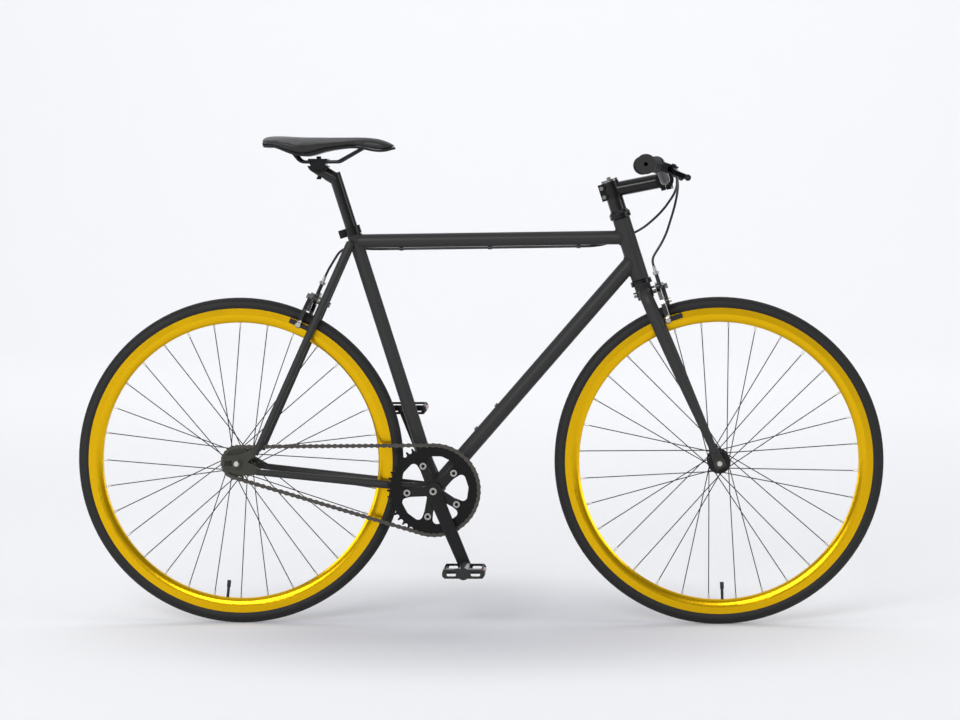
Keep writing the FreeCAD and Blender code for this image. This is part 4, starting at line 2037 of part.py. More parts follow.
rear_top = rear_brake.multVec(BARREL_TOP)
housing("rear_brake_housing", [clip_start, clip_finish]
        + route(SEAT_TOP, size("seat_tube_length"), REAR_ROUTE_SHARES)
        + [rear_top + STAY_UP * APPROACH, rear_top + STAY_UP * HOUSING_SEAT])

clip_rings = []
for number, reach in enumerate(CLIP_REACHES):
    start = HOUSING_LINE + TOP_RUN * (reach - size("clip_width / 2"))
    ring = cylinder(f"clip_ring_{number}", "housing_diameter / 2 + clip_thickness", "clip_width", start,
                    TOP_RUN)
    hole = cylinder(f"clip_hole_{number}", "housing_diameter / 2 + weld_gap", "clip_width", start, TOP_RUN)
    clip_rings.append(cut(f"clip_{number}", ring, [hole, top_cutter]))
keep("cable_clips", group("clip_group", clip_rings))

# Seat clamp: a collar at the top of the seat tube with its ears to the rear
SEAT_AHEAD = Vector(math.sin(SEAT_LEAN), 0, math.cos(SEAT_LEAN))
SEAT_FRAME = axes(SEAT_TOP, SEAT_AHEAD, Y_AXIS, SEAT_UP)


def seat_clamp_shapes():
    outer = size("seat_tube_diameter / 2 + clamp_wall")
    lip = size("clamp_lip")
    bottom = lip - size("clamp_height")
    reach = outer + size("clamp_ear_length")
    half_slit = size("clamp_slit / 2")
    half_ears = half_slit + size("clamp_ear_thickness")
    ears = box(Vector(-reach, -half_ears, bottom), Vector(0, half_ears, lip))
    slit = box(Vector(-reach, -half_slit, bottom), Vector(0, half_slit, lip))
    place = Vector(-outer - size("clamp_ear_length / 2"), 0, (lip + bottom) / 2)
    across = Y_AXIS * half_ears
    hole = rod(place - across, place + across, size("clamp_bolt_diameter / 2 + running_gap"))
    collar = rod(Z_AXIS * bottom, Z_AXIS * lip, outer).fuse(ears)
    for tool in (rod(Z_AXIS * bottom, Z_AXIS * size("weld_gap"), size("seat_tube_diameter / 2 + weld_gap")),
                 rod(Vector(), Z_AXIS * lip, size("post_diameter / 2 + moving_gap")), slit, hole):
        collar = collar.cut(tool)
    bolt = headed_bolt(place + across, place - across, -Y_AXIS, "clamp_bolt")
    return Part.makeCompound([collar.removeSplitter().Solids[0], bolt])


keep("seat_clamp", solid("seat_collar", seat_clamp_shapes(), SEAT_FRAME))

# Seatpost: a tube with a set-back head whose trough carries the rail clamp
POST_TOP = SEAT_TOP + SEAT_UP * size("post_exposed")
RAIL_CLAMP = POST_TOP + SEAT_UP * size("rail_clamp_rise") - SEAT_AHEAD * size("rail_clamp_setback")
CLAMP_RADIUS = size("saddle_clamp_radius")


def seatpost_shape():
    half = Y_AXIS * size("post_head_width / 2")
    head_radius = size("post_head_radius")
    drop = size("post_head_drop")
    head = rod(RAIL_CLAMP - half, RAIL_CLAMP + half, head_radius)
    above = block(head_radius * 2, half.Length * 2, head_radius * 2,
                  RAIL_CLAMP + Z_AXIS * (head_radius - drop))
    neck_start = POST_TOP - SEAT_UP * size("post_neck_diameter / 2")
    neck_end = RAIL_CLAMP - Z_AXIS * size("post_neck_drop")
    foot = SEAT_TOP - SEAT_UP * size("post_insertion")
    neck_radius = size("post_neck_diameter / 2")
    shape = rod(foot, POST_TOP, size("post_diameter / 2")).multiFuse([
        head.cut(above),
        rod(neck_start, neck_end, neck_radius),
        Part.makeSphere(neck_radius, neck_end),
    ])
    trough = rod(RAIL_CLAMP - half, RAIL_CLAMP + half, CLAMP_RADIUS + size("moving_gap"))
    slot = block(size("saddle_bolt_slot"), size("saddle_bolt_diameter + moving_gap * 2"),
                 size("saddle_bolt_drop * 2"), RAIL_CLAMP - Z_AXIS * size("saddle_bolt_drop"))
    nut_level = size("saddle_bolt_drop + saddle_bolt_head_height / 2")
    swing = size("saddle_bolt_drop + saddle_bolt_head_height") * math.sin(math.radians(size("saddle_tilt")))
    recess = block(swing * 2 + size("saddle_bolt_head + moving_gap * 2"),
                   size("saddle_bolt_head + moving_gap * 2"), size("saddle_bolt_head_height * 2"),
                   RAIL_CLAMP - Z_AXIS * nut_level)
    bore = rod(foot, POST_TOP - SEAT_UP * size("post_neck_diameter"), size("post_diameter / 2 - post_wall"))
    return shape.cut(trough).cut(slot).cut(recess).cut(bore).removeSplitter().Solids[0]


keep("seatpost", solid("seatpost_tube", seatpost_shape()))


def rail_points(side):
    """A saddle rail from its rear end to its front end."""
    level = side * size("rail_spacing / 2")
    rear_level = side * size("rail_rear_spacing / 2")
    front_level = side * size("rail_front_spacing / 2")
    return [
        RAIL_CLAMP + Vector(size("-rail_rear_end"), rear_level, size("rail_rear_rise")),
        RAIL_CLAMP + Vector(size("-rail_rear_bend"), level, 0),
        RAIL_CLAMP + Vector(size("rail_front_bend"), level, 0),
        RAIL_CLAMP + Vector(size("rail_front_end"), front_level, size("rail_front_rise")),
    ]


def rail(side, radius):
    bend = size("rail_bend_radius")
    return tube_along(rail_points(side), [0, bend, bend, 0], radius)


def rail_clamp_shapes():
    """Two plates that grip the rails, and the bolt between them."""
    half_width = size("saddle_clamp_width / 2")
    half_gap = size("saddle_clamp_gap / 2")
    half_length = size("saddle_clamp_length / 2")
    top = half_gap + size("saddle_clamp_plate")
    across = Y_AXIS * half_width
    lower = rod(RAIL_CLAMP - across, RAIL_CLAMP + across, CLAMP_RADIUS)
    lower = lower.cut(block(CLAMP_RADIUS * 2, half_width * 2, CLAMP_RADIUS * 2,
                            RAIL_CLAMP + Z_AXIS * (CLAMP_RADIUS - half_gap)))
    upper = box(RAIL_CLAMP + Vector(-half_length, -half_width, half_gap),
                RAIL_CLAMP + Vector(half_length, half_width, top))
    bolt_end = RAIL_CLAMP - Z_AXIS * size("saddle_bolt_drop + saddle_bolt_head_height")
    seat = RAIL_CLAMP + Z_AXIS * top
    bolt = headed_bolt(bolt_end, seat, Z_AXIS, "saddle_bolt")
    nut = rod(RAIL_CLAMP - Z_AXIS * size("saddle_bolt_drop"), bolt_end, size("saddle_bolt_head / 2"))
    hole = rod(bolt_end, seat, size("saddle_bolt_diameter / 2 + weld_gap"))
    grooves = [rail(side, size("rail_diameter / 2 + weld_gap")) for side in (-1, 1)]
    plates = []
    for plate in (lower, upper):
        for tool in grooves + [hole]:
            plate = plate.cut(tool)
        plates += plate.Solids
    return plates + [bolt.fuse(nut).removeSplitter().Solids[0]]


rail_shapes = [rail(side, size("rail_diameter / 2")) for side in (-1, 1)]
keep("saddle_rails", solid("saddle_rail_set", Part.makeCompound(rail_shapes + rail_clamp_shapes())))

# Saddle: a stiff base under a crowned cushion; place, half width, bottom and top at each station
STATION_SHARES = (
    (0, 0.55, 0.67, 0.96),
    (0.06, 0.85, 0.58, 1.01),
    (0.18, 1, 0.4, 1),
    (0.3, 0.96, 0.22, 0.96),
    (0.435, 0.71, 0.35, 0.94),
    (0.59, 0.45, 0.5, 0.94),
    (0.72, 0.315, 0.52, 0.96),
    (0.855, 0.26, 0.39, 0.92),
    (0.945, 0.22, 0.42, 0.79),
    (1, 0.11, 0.48, 0.62),
)
DRAW_IN_SHARE = 0.86
SHOULDER_SHARE = 0.45


def saddle_wires(kind):
    """Sections of the base or of the cushion from the rear to the nose."""
    wires = []
    for place, width, low, high in STATION_SHARES:
        x = RAIL_CLAMP.x - size("saddle_rear_overhang") + size("saddle_length") * place
        half = size("saddle_width / 2") * width
        drawn = half * DRAW_IN_SHARE
        bottom = RAIL_CLAMP.z + size("saddle_top") * low
        top = RAIL_CLAMP.z + size("saddle_top") * high
        if kind == "base":
            inset = drawn - size("saddle_base_inset")
            level = bottom + size("saddle_base_thickness")
            corners = [Vector(x, -inset, bottom), Vector(x, inset, bottom),
                       Vector(x, drawn, level), Vector(x, -drawn, level)]
            wires.append(Part.makePolygon(corners + [corners[0]]))
            continue
        level = bottom + size("saddle_base_thickness + cushion_gap")
        shoulder_level = level + (top - level) * SHOULDER_SHARE
        corners = [Vector(x, -half, shoulder_level), Vector(x, -drawn, level),
                   Vector(x, drawn, level), Vector(x, half, shoulder_level)]
        edges = [Part.LineSegment(corners[number], corners[number + 1]).toShape() for number in range(3)]
        edges.append(Part.Arc(corners[3], Vector(x, 0, top), corners[0]).toShape())
        wires.append(Part.Wire(edges))
    return wires


base_shape = Part.makeLoft(saddle_wires("base"), True)
cushion_shape = Part.makeLoft(saddle_wires("cushion"), True)
for side in (-1, 1):
    base_shape = base_shape.cut(rail(side, size("rail_diameter / 2 + weld_gap")))
    cushion_shape = cushion_shape.cut(rail(side, size("rail_diameter / 2 + cushion_gap")))
keep("saddle_base", solid("saddle_shell", base_shape.Solids[0]))
keep("saddle", solid("saddle_cushion", cushion_shape.Solids[0]))

doc.recompute()
for item in doc.Objects:
    assert not {"Invalid", "Error"} & set(item.State), f"{item.Name} failed: {item.State}"
os.makedirs("parts", exist_ok=True)
for label, piece in nodes.items():
    shape = piece.Shape
    assert not shape.isNull() and shape.isValid(), f"{label} is not a valid shape"
    print(f"{label:24s} solids {len(shape.Solids):3d}  volume {shape.Volume:12.0f} mm3")
for label, piece in nodes.items():
    piece.Shape.exportStep(f"parts/{label}.step")
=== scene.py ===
# %% [markdown]
# # A fixed gear bicycle
# The solids of the bicycle already exist: tubes, wheels, chain, brakes and levers, each one a named
# node that moves with a body. This lesson dresses them. Hard pieces keep their own mesh and get a
# finish. Soft or textured pieces, such as the tyres and the saddle, are modelled again here and stand
# in for their plain node.

# %% Load the frame
import json
import math

import bmesh
import bpy
from mathutils import Matrix, Vector


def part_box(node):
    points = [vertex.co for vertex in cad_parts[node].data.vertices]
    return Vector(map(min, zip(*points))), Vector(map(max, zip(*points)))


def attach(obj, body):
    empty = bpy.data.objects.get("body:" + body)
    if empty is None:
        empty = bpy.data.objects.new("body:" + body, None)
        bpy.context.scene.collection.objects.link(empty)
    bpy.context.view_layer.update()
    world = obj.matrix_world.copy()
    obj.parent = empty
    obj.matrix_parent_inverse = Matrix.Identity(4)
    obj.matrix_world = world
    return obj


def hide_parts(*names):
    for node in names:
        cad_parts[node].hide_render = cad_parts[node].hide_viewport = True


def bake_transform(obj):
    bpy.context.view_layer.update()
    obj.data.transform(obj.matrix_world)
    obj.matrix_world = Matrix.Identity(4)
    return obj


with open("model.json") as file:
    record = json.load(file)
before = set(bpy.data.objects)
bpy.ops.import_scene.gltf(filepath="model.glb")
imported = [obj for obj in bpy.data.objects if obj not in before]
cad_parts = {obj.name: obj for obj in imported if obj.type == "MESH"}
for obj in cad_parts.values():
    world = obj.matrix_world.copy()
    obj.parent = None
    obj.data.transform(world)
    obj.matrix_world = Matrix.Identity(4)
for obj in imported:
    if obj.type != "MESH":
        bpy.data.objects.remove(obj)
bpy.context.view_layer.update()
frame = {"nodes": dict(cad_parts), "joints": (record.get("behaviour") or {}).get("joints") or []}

NODES = frame["nodes"]
JOINTS = {joint["name"]: joint for joint in frame["joints"]}


def pivot(joint):
    """A point on the axis that a joint turns about."""
    return Vector(JOINTS[joint]["pos_m"])


WHEELS = {wheel: pivot(f"{wheel}_wheel_spin") for wheel in ("front", "rear")}

# %% [markdown]
# A finished piece has its place in its mesh and its object at the origin, like the nodes do. It could
# be built by hand in each cell. Small helpers say it once: they turn a bmesh into a mesh, show it with
# a material, and tie it to the body it moves with. Smooth shading with an angle keeps the true edges
# crisp.

# %% Helpers that place a piece
SHARP_ANGLE = math.radians(38)


def mesh_from(name, bm):
    """Writes a bmesh into a new mesh and frees it."""
    mesh = bpy.data.meshes.new(name)
    bm.to_mesh(mesh)
    bm.free()
    return mesh


def add_object(name, data):
    obj = bpy.data.objects.new(name, data)
    bpy.context.collection.objects.link(obj)
    return obj


def show_mesh(name, mesh, material, smooth=True):
    """A mesh as an object with one material."""
    mesh.materials.clear()
    mesh.materials.append(material)
    if smooth:
        mesh.shade_smooth()
        mesh.set_sharp_from_angle(angle=SHARP_ANGLE)
    return add_object(name, mesh)


def place_mesh(name, mesh, body, material, smooth=True):
    """A mesh as a finished piece that moves with a body."""
    obj = show_mesh(name, mesh, material, smooth)
    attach(obj, body)
    return obj


def finish_piece(name, bm, body, material, smooth=True):
    """A bmesh as a finished piece."""
    bmesh.ops.recalc_face_normals(bm, faces=bm.faces)
    return place_mesh(name, mesh_from(name, bm), body, material, smooth)


print("edges stay sharp from", round(math.degrees(SHARP_ANGLE)), "degrees")

# %% [markdown]
# ## Shared effects
# Paint, rubber, leather and metal all show a fine grain: tiny changes of gloss and height that catch
# the light. Pictures could give it, but they need an unwrapped mesh. Noise does not, so the grain is
# made once as a node group. Object coordinates keep it fixed to the piece when the piece moves. The
# group puts out a roughness and a height, and each material sets its own scale and strength.

# %% Helpers for shader nodes
def group_socket(group, name, kind, way, default=None):
    socket = group.interface.new_socket(name=name, in_out=way, socket_type=kind)
    if default is not None:
        socket.default_value = default


def add_node(tree, kind, **settings):
    node = tree.nodes.new(kind)
    for key, value in settings.items():
        setattr(node, key, value)
    return node


def math_node(tree, operation, first, second=None):
    """A maths node that takes numbers or sockets and gives its result's socket."""
    node = add_node(tree, "ShaderNodeMath", operation=operation)
    for index, value in enumerate((first, second)):
        if value is None:
            continue
        if isinstance(value, (int, float)):
            node.inputs[index].default_value = value
        else:
            tree.links.new(value, node.inputs[index])
    return node.outputs[0]


print("node groups before:", len(bpy.data.node_groups))

# %% [markdown]
# Two noises make the grain. The fine one is its height, at the scale that the material asks for. The
# broad one lets the gloss drift over a hand's width, as it does on real paint. One noise could serve
# for both, but then every bump would also have its own gloss.

# %% The grain group
FINE_DETAIL = 3.0
BROAD_SCALE = 14.0
NOISE_MIDDLE = 0.5


def make_grain_group():
    group = bpy.data.node_groups.new("surface grain", "ShaderNodeTree")
    group_socket(group, "Vector", "NodeSocketVector", "INPUT")
    for name, default in (("Scale", 600.0), ("Roughness", 0.4), ("Spread", 0.08)):
        group_socket(group, name, "NodeSocketFloat", "INPUT", default)
    for name in ("Roughness", "Height"):
        group_socket(group, name, "NodeSocketFloat", "OUTPUT")
    inputs = add_node(group, "NodeGroupInput")
    outputs = add_node(group, "NodeGroupOutput")
    fine = add_node(group, "ShaderNodeTexNoise")
    broad = add_node(group, "ShaderNodeTexNoise")
    fine.inputs["Detail"].default_value = FINE_DETAIL
    broad.inputs["Scale"].default_value = BROAD_SCALE
    for texture in (fine, broad):
        group.links.new(inputs.outputs["Vector"], texture.inputs["Vector"])
    group.links.new(inputs.outputs["Scale"], fine.inputs["Scale"])
    swing = math_node(group, "SUBTRACT", broad.outputs["Fac"], NOISE_MIDDLE)
    spread = math_node(group, "MULTIPLY", swing, inputs.outputs["Spread"])
    roughness = math_node(group, "ADD", spread, inputs.outputs["Roughness"])
    group.links.new(roughness, outputs.inputs["Roughness"])
    group.links.new(fine.outputs["Fac"], outputs.inputs["Height"])
    return group


GRAIN = make_grain_group()
print("group:", GRAIN.name)

# %% [markdown]
# Some nodes hold two finishes: a spoke has a bright nipple, a brake arm has a bright nut and wire.
# Their faces could be picked one by one. Such small round features lie along a line, so a second group
# measures how far a point is from a line, as the length of a cross product. It puts out a mask that is
# one within a given radius.

# %% The line mask group
def make_line_group():
    group = bpy.data.node_groups.new("near a line", "ShaderNodeTree")
    for name in ("Vector", "Point", "Axis"):
        group_socket(group, name, "NodeSocketVector", "INPUT")
    group_socket(group, "Radius", "NodeSocketFloat", "INPUT", 0.1)
    group_socket(group, "Mask", "NodeSocketFloat", "OUTPUT")
    inputs = add_node(group, "NodeGroupInput")
    outputs = add_node(group, "NodeGroupOutput")
    offset = add_node(group, "ShaderNodeVectorMath", operation="SUBTRACT")
    group.links.new(inputs.outputs["Vector"], offset.inputs[0])
    group.links.new(inputs.outputs["Point"], offset.inputs[1])
    cross = add_node(group, "ShaderNodeVectorMath", operation="CROSS_PRODUCT")
    group.links.new(offset.outputs["Vector"], cross.inputs[0])
    group.links.new(inputs.outputs["Axis"], cross.inputs[1])
    length = add_node(group, "ShaderNodeVectorMath", operation="LENGTH")
    group.links.new(cross.outputs["Vector"], length.inputs[0])
    inside = math_node(group, "LESS_THAN", length.outputs["Value"], inputs.outputs["Radius"])
    group.links.new(inside, outputs.inputs["Mask"])
    return group


LINE_MASK = make_line_group()
print("group:", LINE_MASK.name)

# %% [markdown]
# ## Finishes
# Every finish is one Principled shader with the grain group on it. A function could make it from the
# colour, the gloss and the depth of the grain. A class does the same and also keeps the tree and the
# coordinates at hand, because some finishes add a mask later. Values that are the same all over, such
# as sheen, are set on the shader itself.

# %% A class for all finishes
class Finish:
    """A material with its shader, tree and object coordinates at hand."""

    def __init__(self, name, colour, roughness, metallic=0.0, grain=600.0, spread=0.08, depth=0.0,
                 **sockets):
        self.material = bpy.data.materials.new(name)
        self.material.use_nodes = True
        self.tree = self.material.node_tree
        self.shader = self.tree.nodes["Principled BSDF"]
        self.shader.inputs["Base Color"].default_value = (*colour, 1)
        self.shader.inputs["Metallic"].default_value = metallic
        for socket, value in sockets.items():
            self.shader.inputs[socket.replace("_", " ")].default_value = value
        self.place = add_node(self.tree, "ShaderNodeTexCoord").outputs["Object"]
        self.grain = add_node(self.tree, "ShaderNodeGroup", node_tree=GRAIN)
        self.tree.links.new(self.place, self.grain.inputs["Vector"])
        for socket, value in (("Scale", grain), ("Roughness", roughness), ("Spread", spread)):
            self.grain.inputs[socket].default_value = value
        self.tree.links.new(self.grain.outputs["Roughness"], self.shader.inputs["Roughness"])
        if depth:
            self.bump(self.grain.outputs["Height"], depth)

    def bump(self, height, depth, strength=0.5):
        """Tilts the surface by a height."""
        node = add_node(self.tree, "ShaderNodeBump")
        node.inputs["Strength"].default_value = strength
        node.inputs["Distance"].default_value = depth
        self.tree.links.new(height, node.inputs["Height"])
        self.tree.links.new(node.outputs["Normal"], self.shader.inputs["Normal"])

    def mix_colour(self, mask, first, second):
        """Feeds the base colour from two colours and a mask."""
        mix = add_node(self.tree, "ShaderNodeMix", data_type="RGBA")
        self.tree.links.new(mask, mix.inputs["Factor"])
        mix.inputs["A"].default_value = (*first, 1)
        mix.inputs["B"].default_value = (*second, 1)
        self.tree.links.new(mix.outputs["Result"], self.shader.inputs["Base Color"])

    def line_mask(self, point, axis, radius):
        """A mask that is one within a radius of a line."""
        mask = add_node(self.tree, "ShaderNodeGroup", node_tree=LINE_MASK)
        self.tree.links.new(self.place, mask.inputs["Vector"])
        for socket, value in (("Point", point), ("Axis", axis), ("Radius", radius)):
            mask.inputs[socket].default_value = value
        return mask.outputs["Mask"]

    def beyond(self, axis, centre, reach):
        """A mask that is one further than reach from the centre along X, Y or Z."""
        parts = add_node(self.tree, "ShaderNodeSeparateXYZ")
        self.tree.links.new(self.place, parts.inputs[0])
        offset = math_node(self.tree, "SUBTRACT", parts.outputs[axis], centre)
        return math_node(self.tree, "GREATER_THAN", math_node(self.tree, "ABSOLUTE", offset), reach)


print("a finish can:", [name for name in vars(Finish) if not name.startswith("_")])

# %% [markdown]
# The frame and fork have a matte charcoal powder coat. The bar, stem, cranks and seatpost are black
# anodised or painted alloy with more gloss. Bolts are bright zinc steel, the chain is darker and oily.
# One black for all would be quicker, but the small steps in gloss are what tells the pieces apart.

# %% The plain finishes
MM = 0.001
DARK_STEEL_GREY = (0.07, 0.068, 0.062)
CHARCOAL = Finish("charcoal powder coat", (0.032, 0.032, 0.0325), 0.4, grain=2600, depth=0.05 * MM,
                  Specular_IOR_Level=0.16).material
BLACK_ALLOY = Finish("black anodised alloy", (0.005, 0.005, 0.0055), 0.22, grain=1800,
                     Specular_IOR_Level=0.3).material
RING_BLACK = Finish("black chainring", (0.004, 0.004, 0.0045), 0.3, grain=1800,
                    Specular_IOR_Level=0.18).material
GLOSS_BLACK = Finish("gloss black alloy", (0.006, 0.006, 0.0065), 0.2, spread=0.05,
                     Specular_IOR_Level=0.4).material
DARK_STEEL = Finish("dark steel", DARK_STEEL_GREY, 0.36, 0.9, grain=900, spread=0.2).material
CHAIN_STEEL = Finish("oiled chain steel", (0.085, 0.08, 0.072), 0.32, 0.9, grain=700,
                     spread=0.25).material
OLIVE_STEEL = Finish("olive grey track end", (0.04, 0.039, 0.031), 0.4, 0.5, grain=900,
                     spread=0.15).material
BRIGHT_STEEL = Finish("bright bolt steel", (0.5, 0.49, 0.47), 0.26, 1.0, grain=900,
                      spread=0.12).material
HOUSING_BLACK = Finish("black housing plastic", (0.006, 0.006, 0.0065), 0.36, grain=1500).material
TUBE_RUBBER = Finish("valve and tube black", (0.007, 0.007, 0.007), 0.45, grain=1500).material
GRIP_RUBBER = Finish("grip rubber", (0.011, 0.011, 0.011), 0.62, grain=1900, depth=0.15 * MM,
                     Specular_IOR_Level=0.35).material
SHELL_PLASTIC = Finish("saddle shell plastic", (0.007, 0.007, 0.007), 0.46, grain=1700,
                       depth=0.08 * MM, Specular_IOR_Level=0.35).material
BOLT_STEEL = Finish("small bolt steel", (0.24, 0.235, 0.225), 0.28, 1.0, grain=900,
                    spread=0.12).material
print("plain finishes:", len(bpy.data.materials))

# %% [markdown]
# The rims are gold anodised alloy: a bright metal whose colour comes from a dyed layer, with a fine
# turned grain that runs round the rim. Noise on Object coordinates that is stretched along the radius
# would need each wheel's centre, so a plain fine grain is used instead.

# %% The gold rims
GOLD = Finish("gold anodised rim", (0.78, 0.46, 0.007), 0.25, 1.0, grain=1500, spread=0.1).material
print("rim finish:", GOLD.name)

# %% [markdown]
# A spoke is thin dark steel with a bright nipple where it enters the rim. Both are in one node, so two
# materials would need its faces sorted. A line mask does it in one material: the line is the wheel's
# axle, and its radius parts the dark spokes from the nipples outside it.

# %% Spokes with bright nipples
NIPPLE_LENGTH = 13 * MM
SILVER = (0.6, 0.58, 0.54)
SPOKE_BLACK = (0.02, 0.02, 0.021)
Y_AXIS = Vector((0, 1, 0))


def spoke_finish(wheel, centre):
    low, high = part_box(f"{wheel}_spokes")
    nipple_start = (high.x - low.x) / 2 - NIPPLE_LENGTH
    finish = Finish(f"{wheel} spoke steel", SILVER, 0.32, 0.7, grain=900)
    finish.mix_colour(finish.line_mask(centre, Y_AXIS, nipple_start), SILVER, SPOKE_BLACK)
    return finish.material


SPOKES = {wheel: spoke_finish(wheel, centre) for wheel, centre in WHEELS.items()}
print("spoke finishes:", [material.name for material in SPOKES.values()])

# %% [markdown]
# Each pedal is a black cage with a red reflector at its front and its rear. The reflectors could be
# pieces of their own, but they are part of the pedal's node. They are what lies furthest from the
# pedal's axle along X, between the two cheeks, so two masks together find them.

# %% Pedals with reflectors
REFLECTOR_DEPTH = 4 * MM
REFLECTOR_SHARE = 0.98
REFLECTOR_HALF_WIDTH = 22.5 * MM
REFLECTOR_RED = (0.5, 0.012, 0.01)
PEDAL_BLACK = (0.006, 0.006, 0.0065)


def pedal_finish(side):
    finish = Finish(f"{side} pedal", PEDAL_BLACK, 0.22, grain=1500, Specular_IOR_Level=0.5)
    low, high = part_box(f"pedal_{side}")
    middle = (low + high) / 2
    ends = finish.beyond("X", middle.x, high.x - middle.x - REFLECTOR_DEPTH * REFLECTOR_SHARE)
    cheeks = finish.beyond("Y", middle.y, REFLECTOR_HALF_WIDTH)
    mask = math_node(finish.tree, "GREATER_THAN", ends, cheeks)
    finish.mix_colour(mask, PEDAL_BLACK, REFLECTOR_RED)
    return finish.material


PEDALS = {side: pedal_finish(side) for side in ("right", "left")}
print("pedal finishes:", [material.name for material in PEDALS.values()])

# %% [markdown]
# A calliper sits on its pivot bolt and faces along it. The place of its cable could be typed in, but
# the arm's joint already holds the bolt's place and direction. The way up is square to that direction,
# and the cable runs on one side: the chain side in front, the other side at the rear.

# %% Where each calliper sits
CABLE_SIDES = {"front": -1, "rear": 1}
CABLE_OFFSET = 47 * MM
CABLE_DEPTH = 17 * MM


def brake_axes(brake):
    """A calliper's pivot, the way it faces, the way up and a point on its cable."""
    joint = f"{brake}_barrel_arm_turn"
    seat = pivot(joint)
    out = Vector(JOINTS[joint]["axis"])
    up = Vector((-out.z, 0, out.x)) * math.copysign(1, out.x)
    cable = seat + out * CABLE_DEPTH + Y_AXIS * CABLE_SIDES[brake] * CABLE_OFFSET
    return seat, out, up, cable


BRAKES = {brake: brake_axes(brake) for brake in CABLE_SIDES}
for brake, (seat, out, up, cable) in BRAKES.items():
    print(brake, "calliper up", [round(v, 4) for v in up], "cable", [round(v, 4) for v in cable])

# %% [markdown]
# A brake arm is black alloy. Its pad nut is bright steel and so are the cable's bare wire and the bolt
# that anchors it. All three are round, so line masks find them: the nut along Y, the wire along the
# way up, and the anchor bolt along the way the calliper faces. The nut's mask also has to lie far out,
# or it would take in the arm behind the nut.

# %% Brake arms with bright nuts and wires
ANCHOR_DROP = 28 * MM
ANCHOR_REACH = 4.6 * MM
WIRE_REACH = 1.6 * MM
PAD_DROP = {"front": 67.58 * MM, "rear": 60.58 * MM}
NUT_START = 37.6 * MM
NUT_RADIUS = 11 * MM
ARM_BLACK = (0.008, 0.008, 0.0085)


def brake_finish(brake):
    seat, out, up, cable = BRAKES[brake]
    finish = Finish(f"{brake} brake arms", ARM_BLACK, 0.22, grain=1800, Specular_IOR_Level=0.5)
    pad = seat + out * CABLE_DEPTH - up * PAD_DROP[brake]
    near_nut = finish.line_mask(pad, Y_AXIS, NUT_RADIUS)
    nut = math_node(finish.tree, "MULTIPLY", near_nut, finish.beyond("Y", 0, NUT_START))
    wire = finish.line_mask(cable, up, WIRE_REACH)
    anchor = finish.line_mask(cable - up * ANCHOR_DROP, out, ANCHOR_REACH)
    bright = math_node(finish.tree, "MAXIMUM", math_node(finish.tree, "MAXIMUM", nut, wire), anchor)
    finish.mix_colour(bright, ARM_BLACK, SILVER)
    finish.tree.links.new(bright, finish.shader.inputs["Metallic"])
    return finish.material


BRAKE_ARMS = {brake: brake_finish(brake) for brake in BRAKES}
print("brake finishes:", [material.name for material in BRAKE_ARMS.values()])

# %% [markdown]
# The chainring bolts are bright rings round a socket, whose hollow is shown by a painted shade. The
# centres could be worked out from the bolt circle, but the node itself tells them: a merged copy falls
# into islands, one for each bolt, and the middle of an island's box is on the line of that bolt.

# %% Find the separate pieces of a node
MERGE_DISTANCE = 0.01 * MM


def merged_copy(node):
    """A copy of a node's loose triangles, joined into closed meshes."""
    bm = bmesh.new()
    bm.from_mesh(NODES[node].data)
    bmesh.ops.remove_doubles(bm, verts=bm.verts, dist=MERGE_DISTANCE)
    return bm


def islands(bm):
    """The points of each separate piece of a mesh."""
    left = set(bm.verts)
    pieces = []
    while left:
        front = [left.pop()]
        piece = []
        while front:
            vertex = front.pop()
            piece.append(vertex.co.copy())
            for edge in vertex.link_edges:
                other = edge.other_vert(vertex)
                if other in left:
                    left.remove(other)
                    front.append(other)
        pieces.append(piece)
    return pieces


bolts = merged_copy("crank_bolts")
BOLT_ISLANDS = islands(bolts)
bolts.free()
print("bolt islands:", len(BOLT_ISLANDS))

# %% [markdown]
# Each island gives one line mask, half as wide as the bolt. The masks are joined by taking the largest,
# and the joined mask mixes the bright steel with a painted shade where each socket's hollow lies. A
# modelled socket would catch the light better, but at this size the painted shade alone is read as a
# hole.

# %% Crank bolts with painted shade in the sockets
SOCKET_SHARE = 0.5
BOLT_RING = (0.4, 0.39, 0.37)
# The socket colour is a painted shade for the hollow of each bolt, and the share sets its size.
SOCKET_PAINTED_SHADE = (0.012, 0.012, 0.012)


def bolt_finish(pieces):
    finish = Finish("crank bolt steel", SILVER, 0.28, 1.0, grain=900, spread=0.12)
    sockets = None
    for piece in pieces:
        low = Vector([min(point[axis] for point in piece) for axis in range(3)])
        high = Vector([max(point[axis] for point in piece) for axis in range(3)])
        radius = (high.x - low.x) / 2 * SOCKET_SHARE
        socket = finish.line_mask((low + high) / 2, Y_AXIS, radius)
        sockets = math_node(finish.tree, "MAXIMUM", sockets, socket) if sockets else socket
    # Mixes in the painted shade of the sockets.
    finish.mix_colour(sockets, BOLT_RING, SOCKET_PAINTED_SHADE)
    return finish.material


CRANK_BOLTS = bolt_finish(BOLT_ISLANDS)
print("crank bolts:", CRANK_BOLTS.name)

# %% [markdown]
# The axle nuts are dark steel, and the turned end of the axle inside them is bright. Both are one node
# about one line, so a line mask with the axle's radius parts them, as on the spokes.

# %% Axles with bright ends
AXLE_RADIUS = 5.2 * MM


def axle_finish(wheel, centre):
    finish = Finish(f"{wheel} axle steel", DARK_STEEL_GREY, 0.34, 0.9, grain=900, spread=0.2)
    finish.mix_colour(finish.line_mask(centre, Y_AXIS, AXLE_RADIUS), DARK_STEEL_GREY, SILVER)
    return finish.material


AXLES = {wheel: axle_finish(wheel, centre) for wheel, centre in WHEELS.items()}
print("axle finishes:", [material.name for material in AXLES.values()])

# %% [markdown]
# ## Finishes on the nodes
# Each node takes one finish. A line of code for each node would do, but a table is easier to read and
# to check. It lists the nodes by finish, and the loop stops if a node was forgotten.

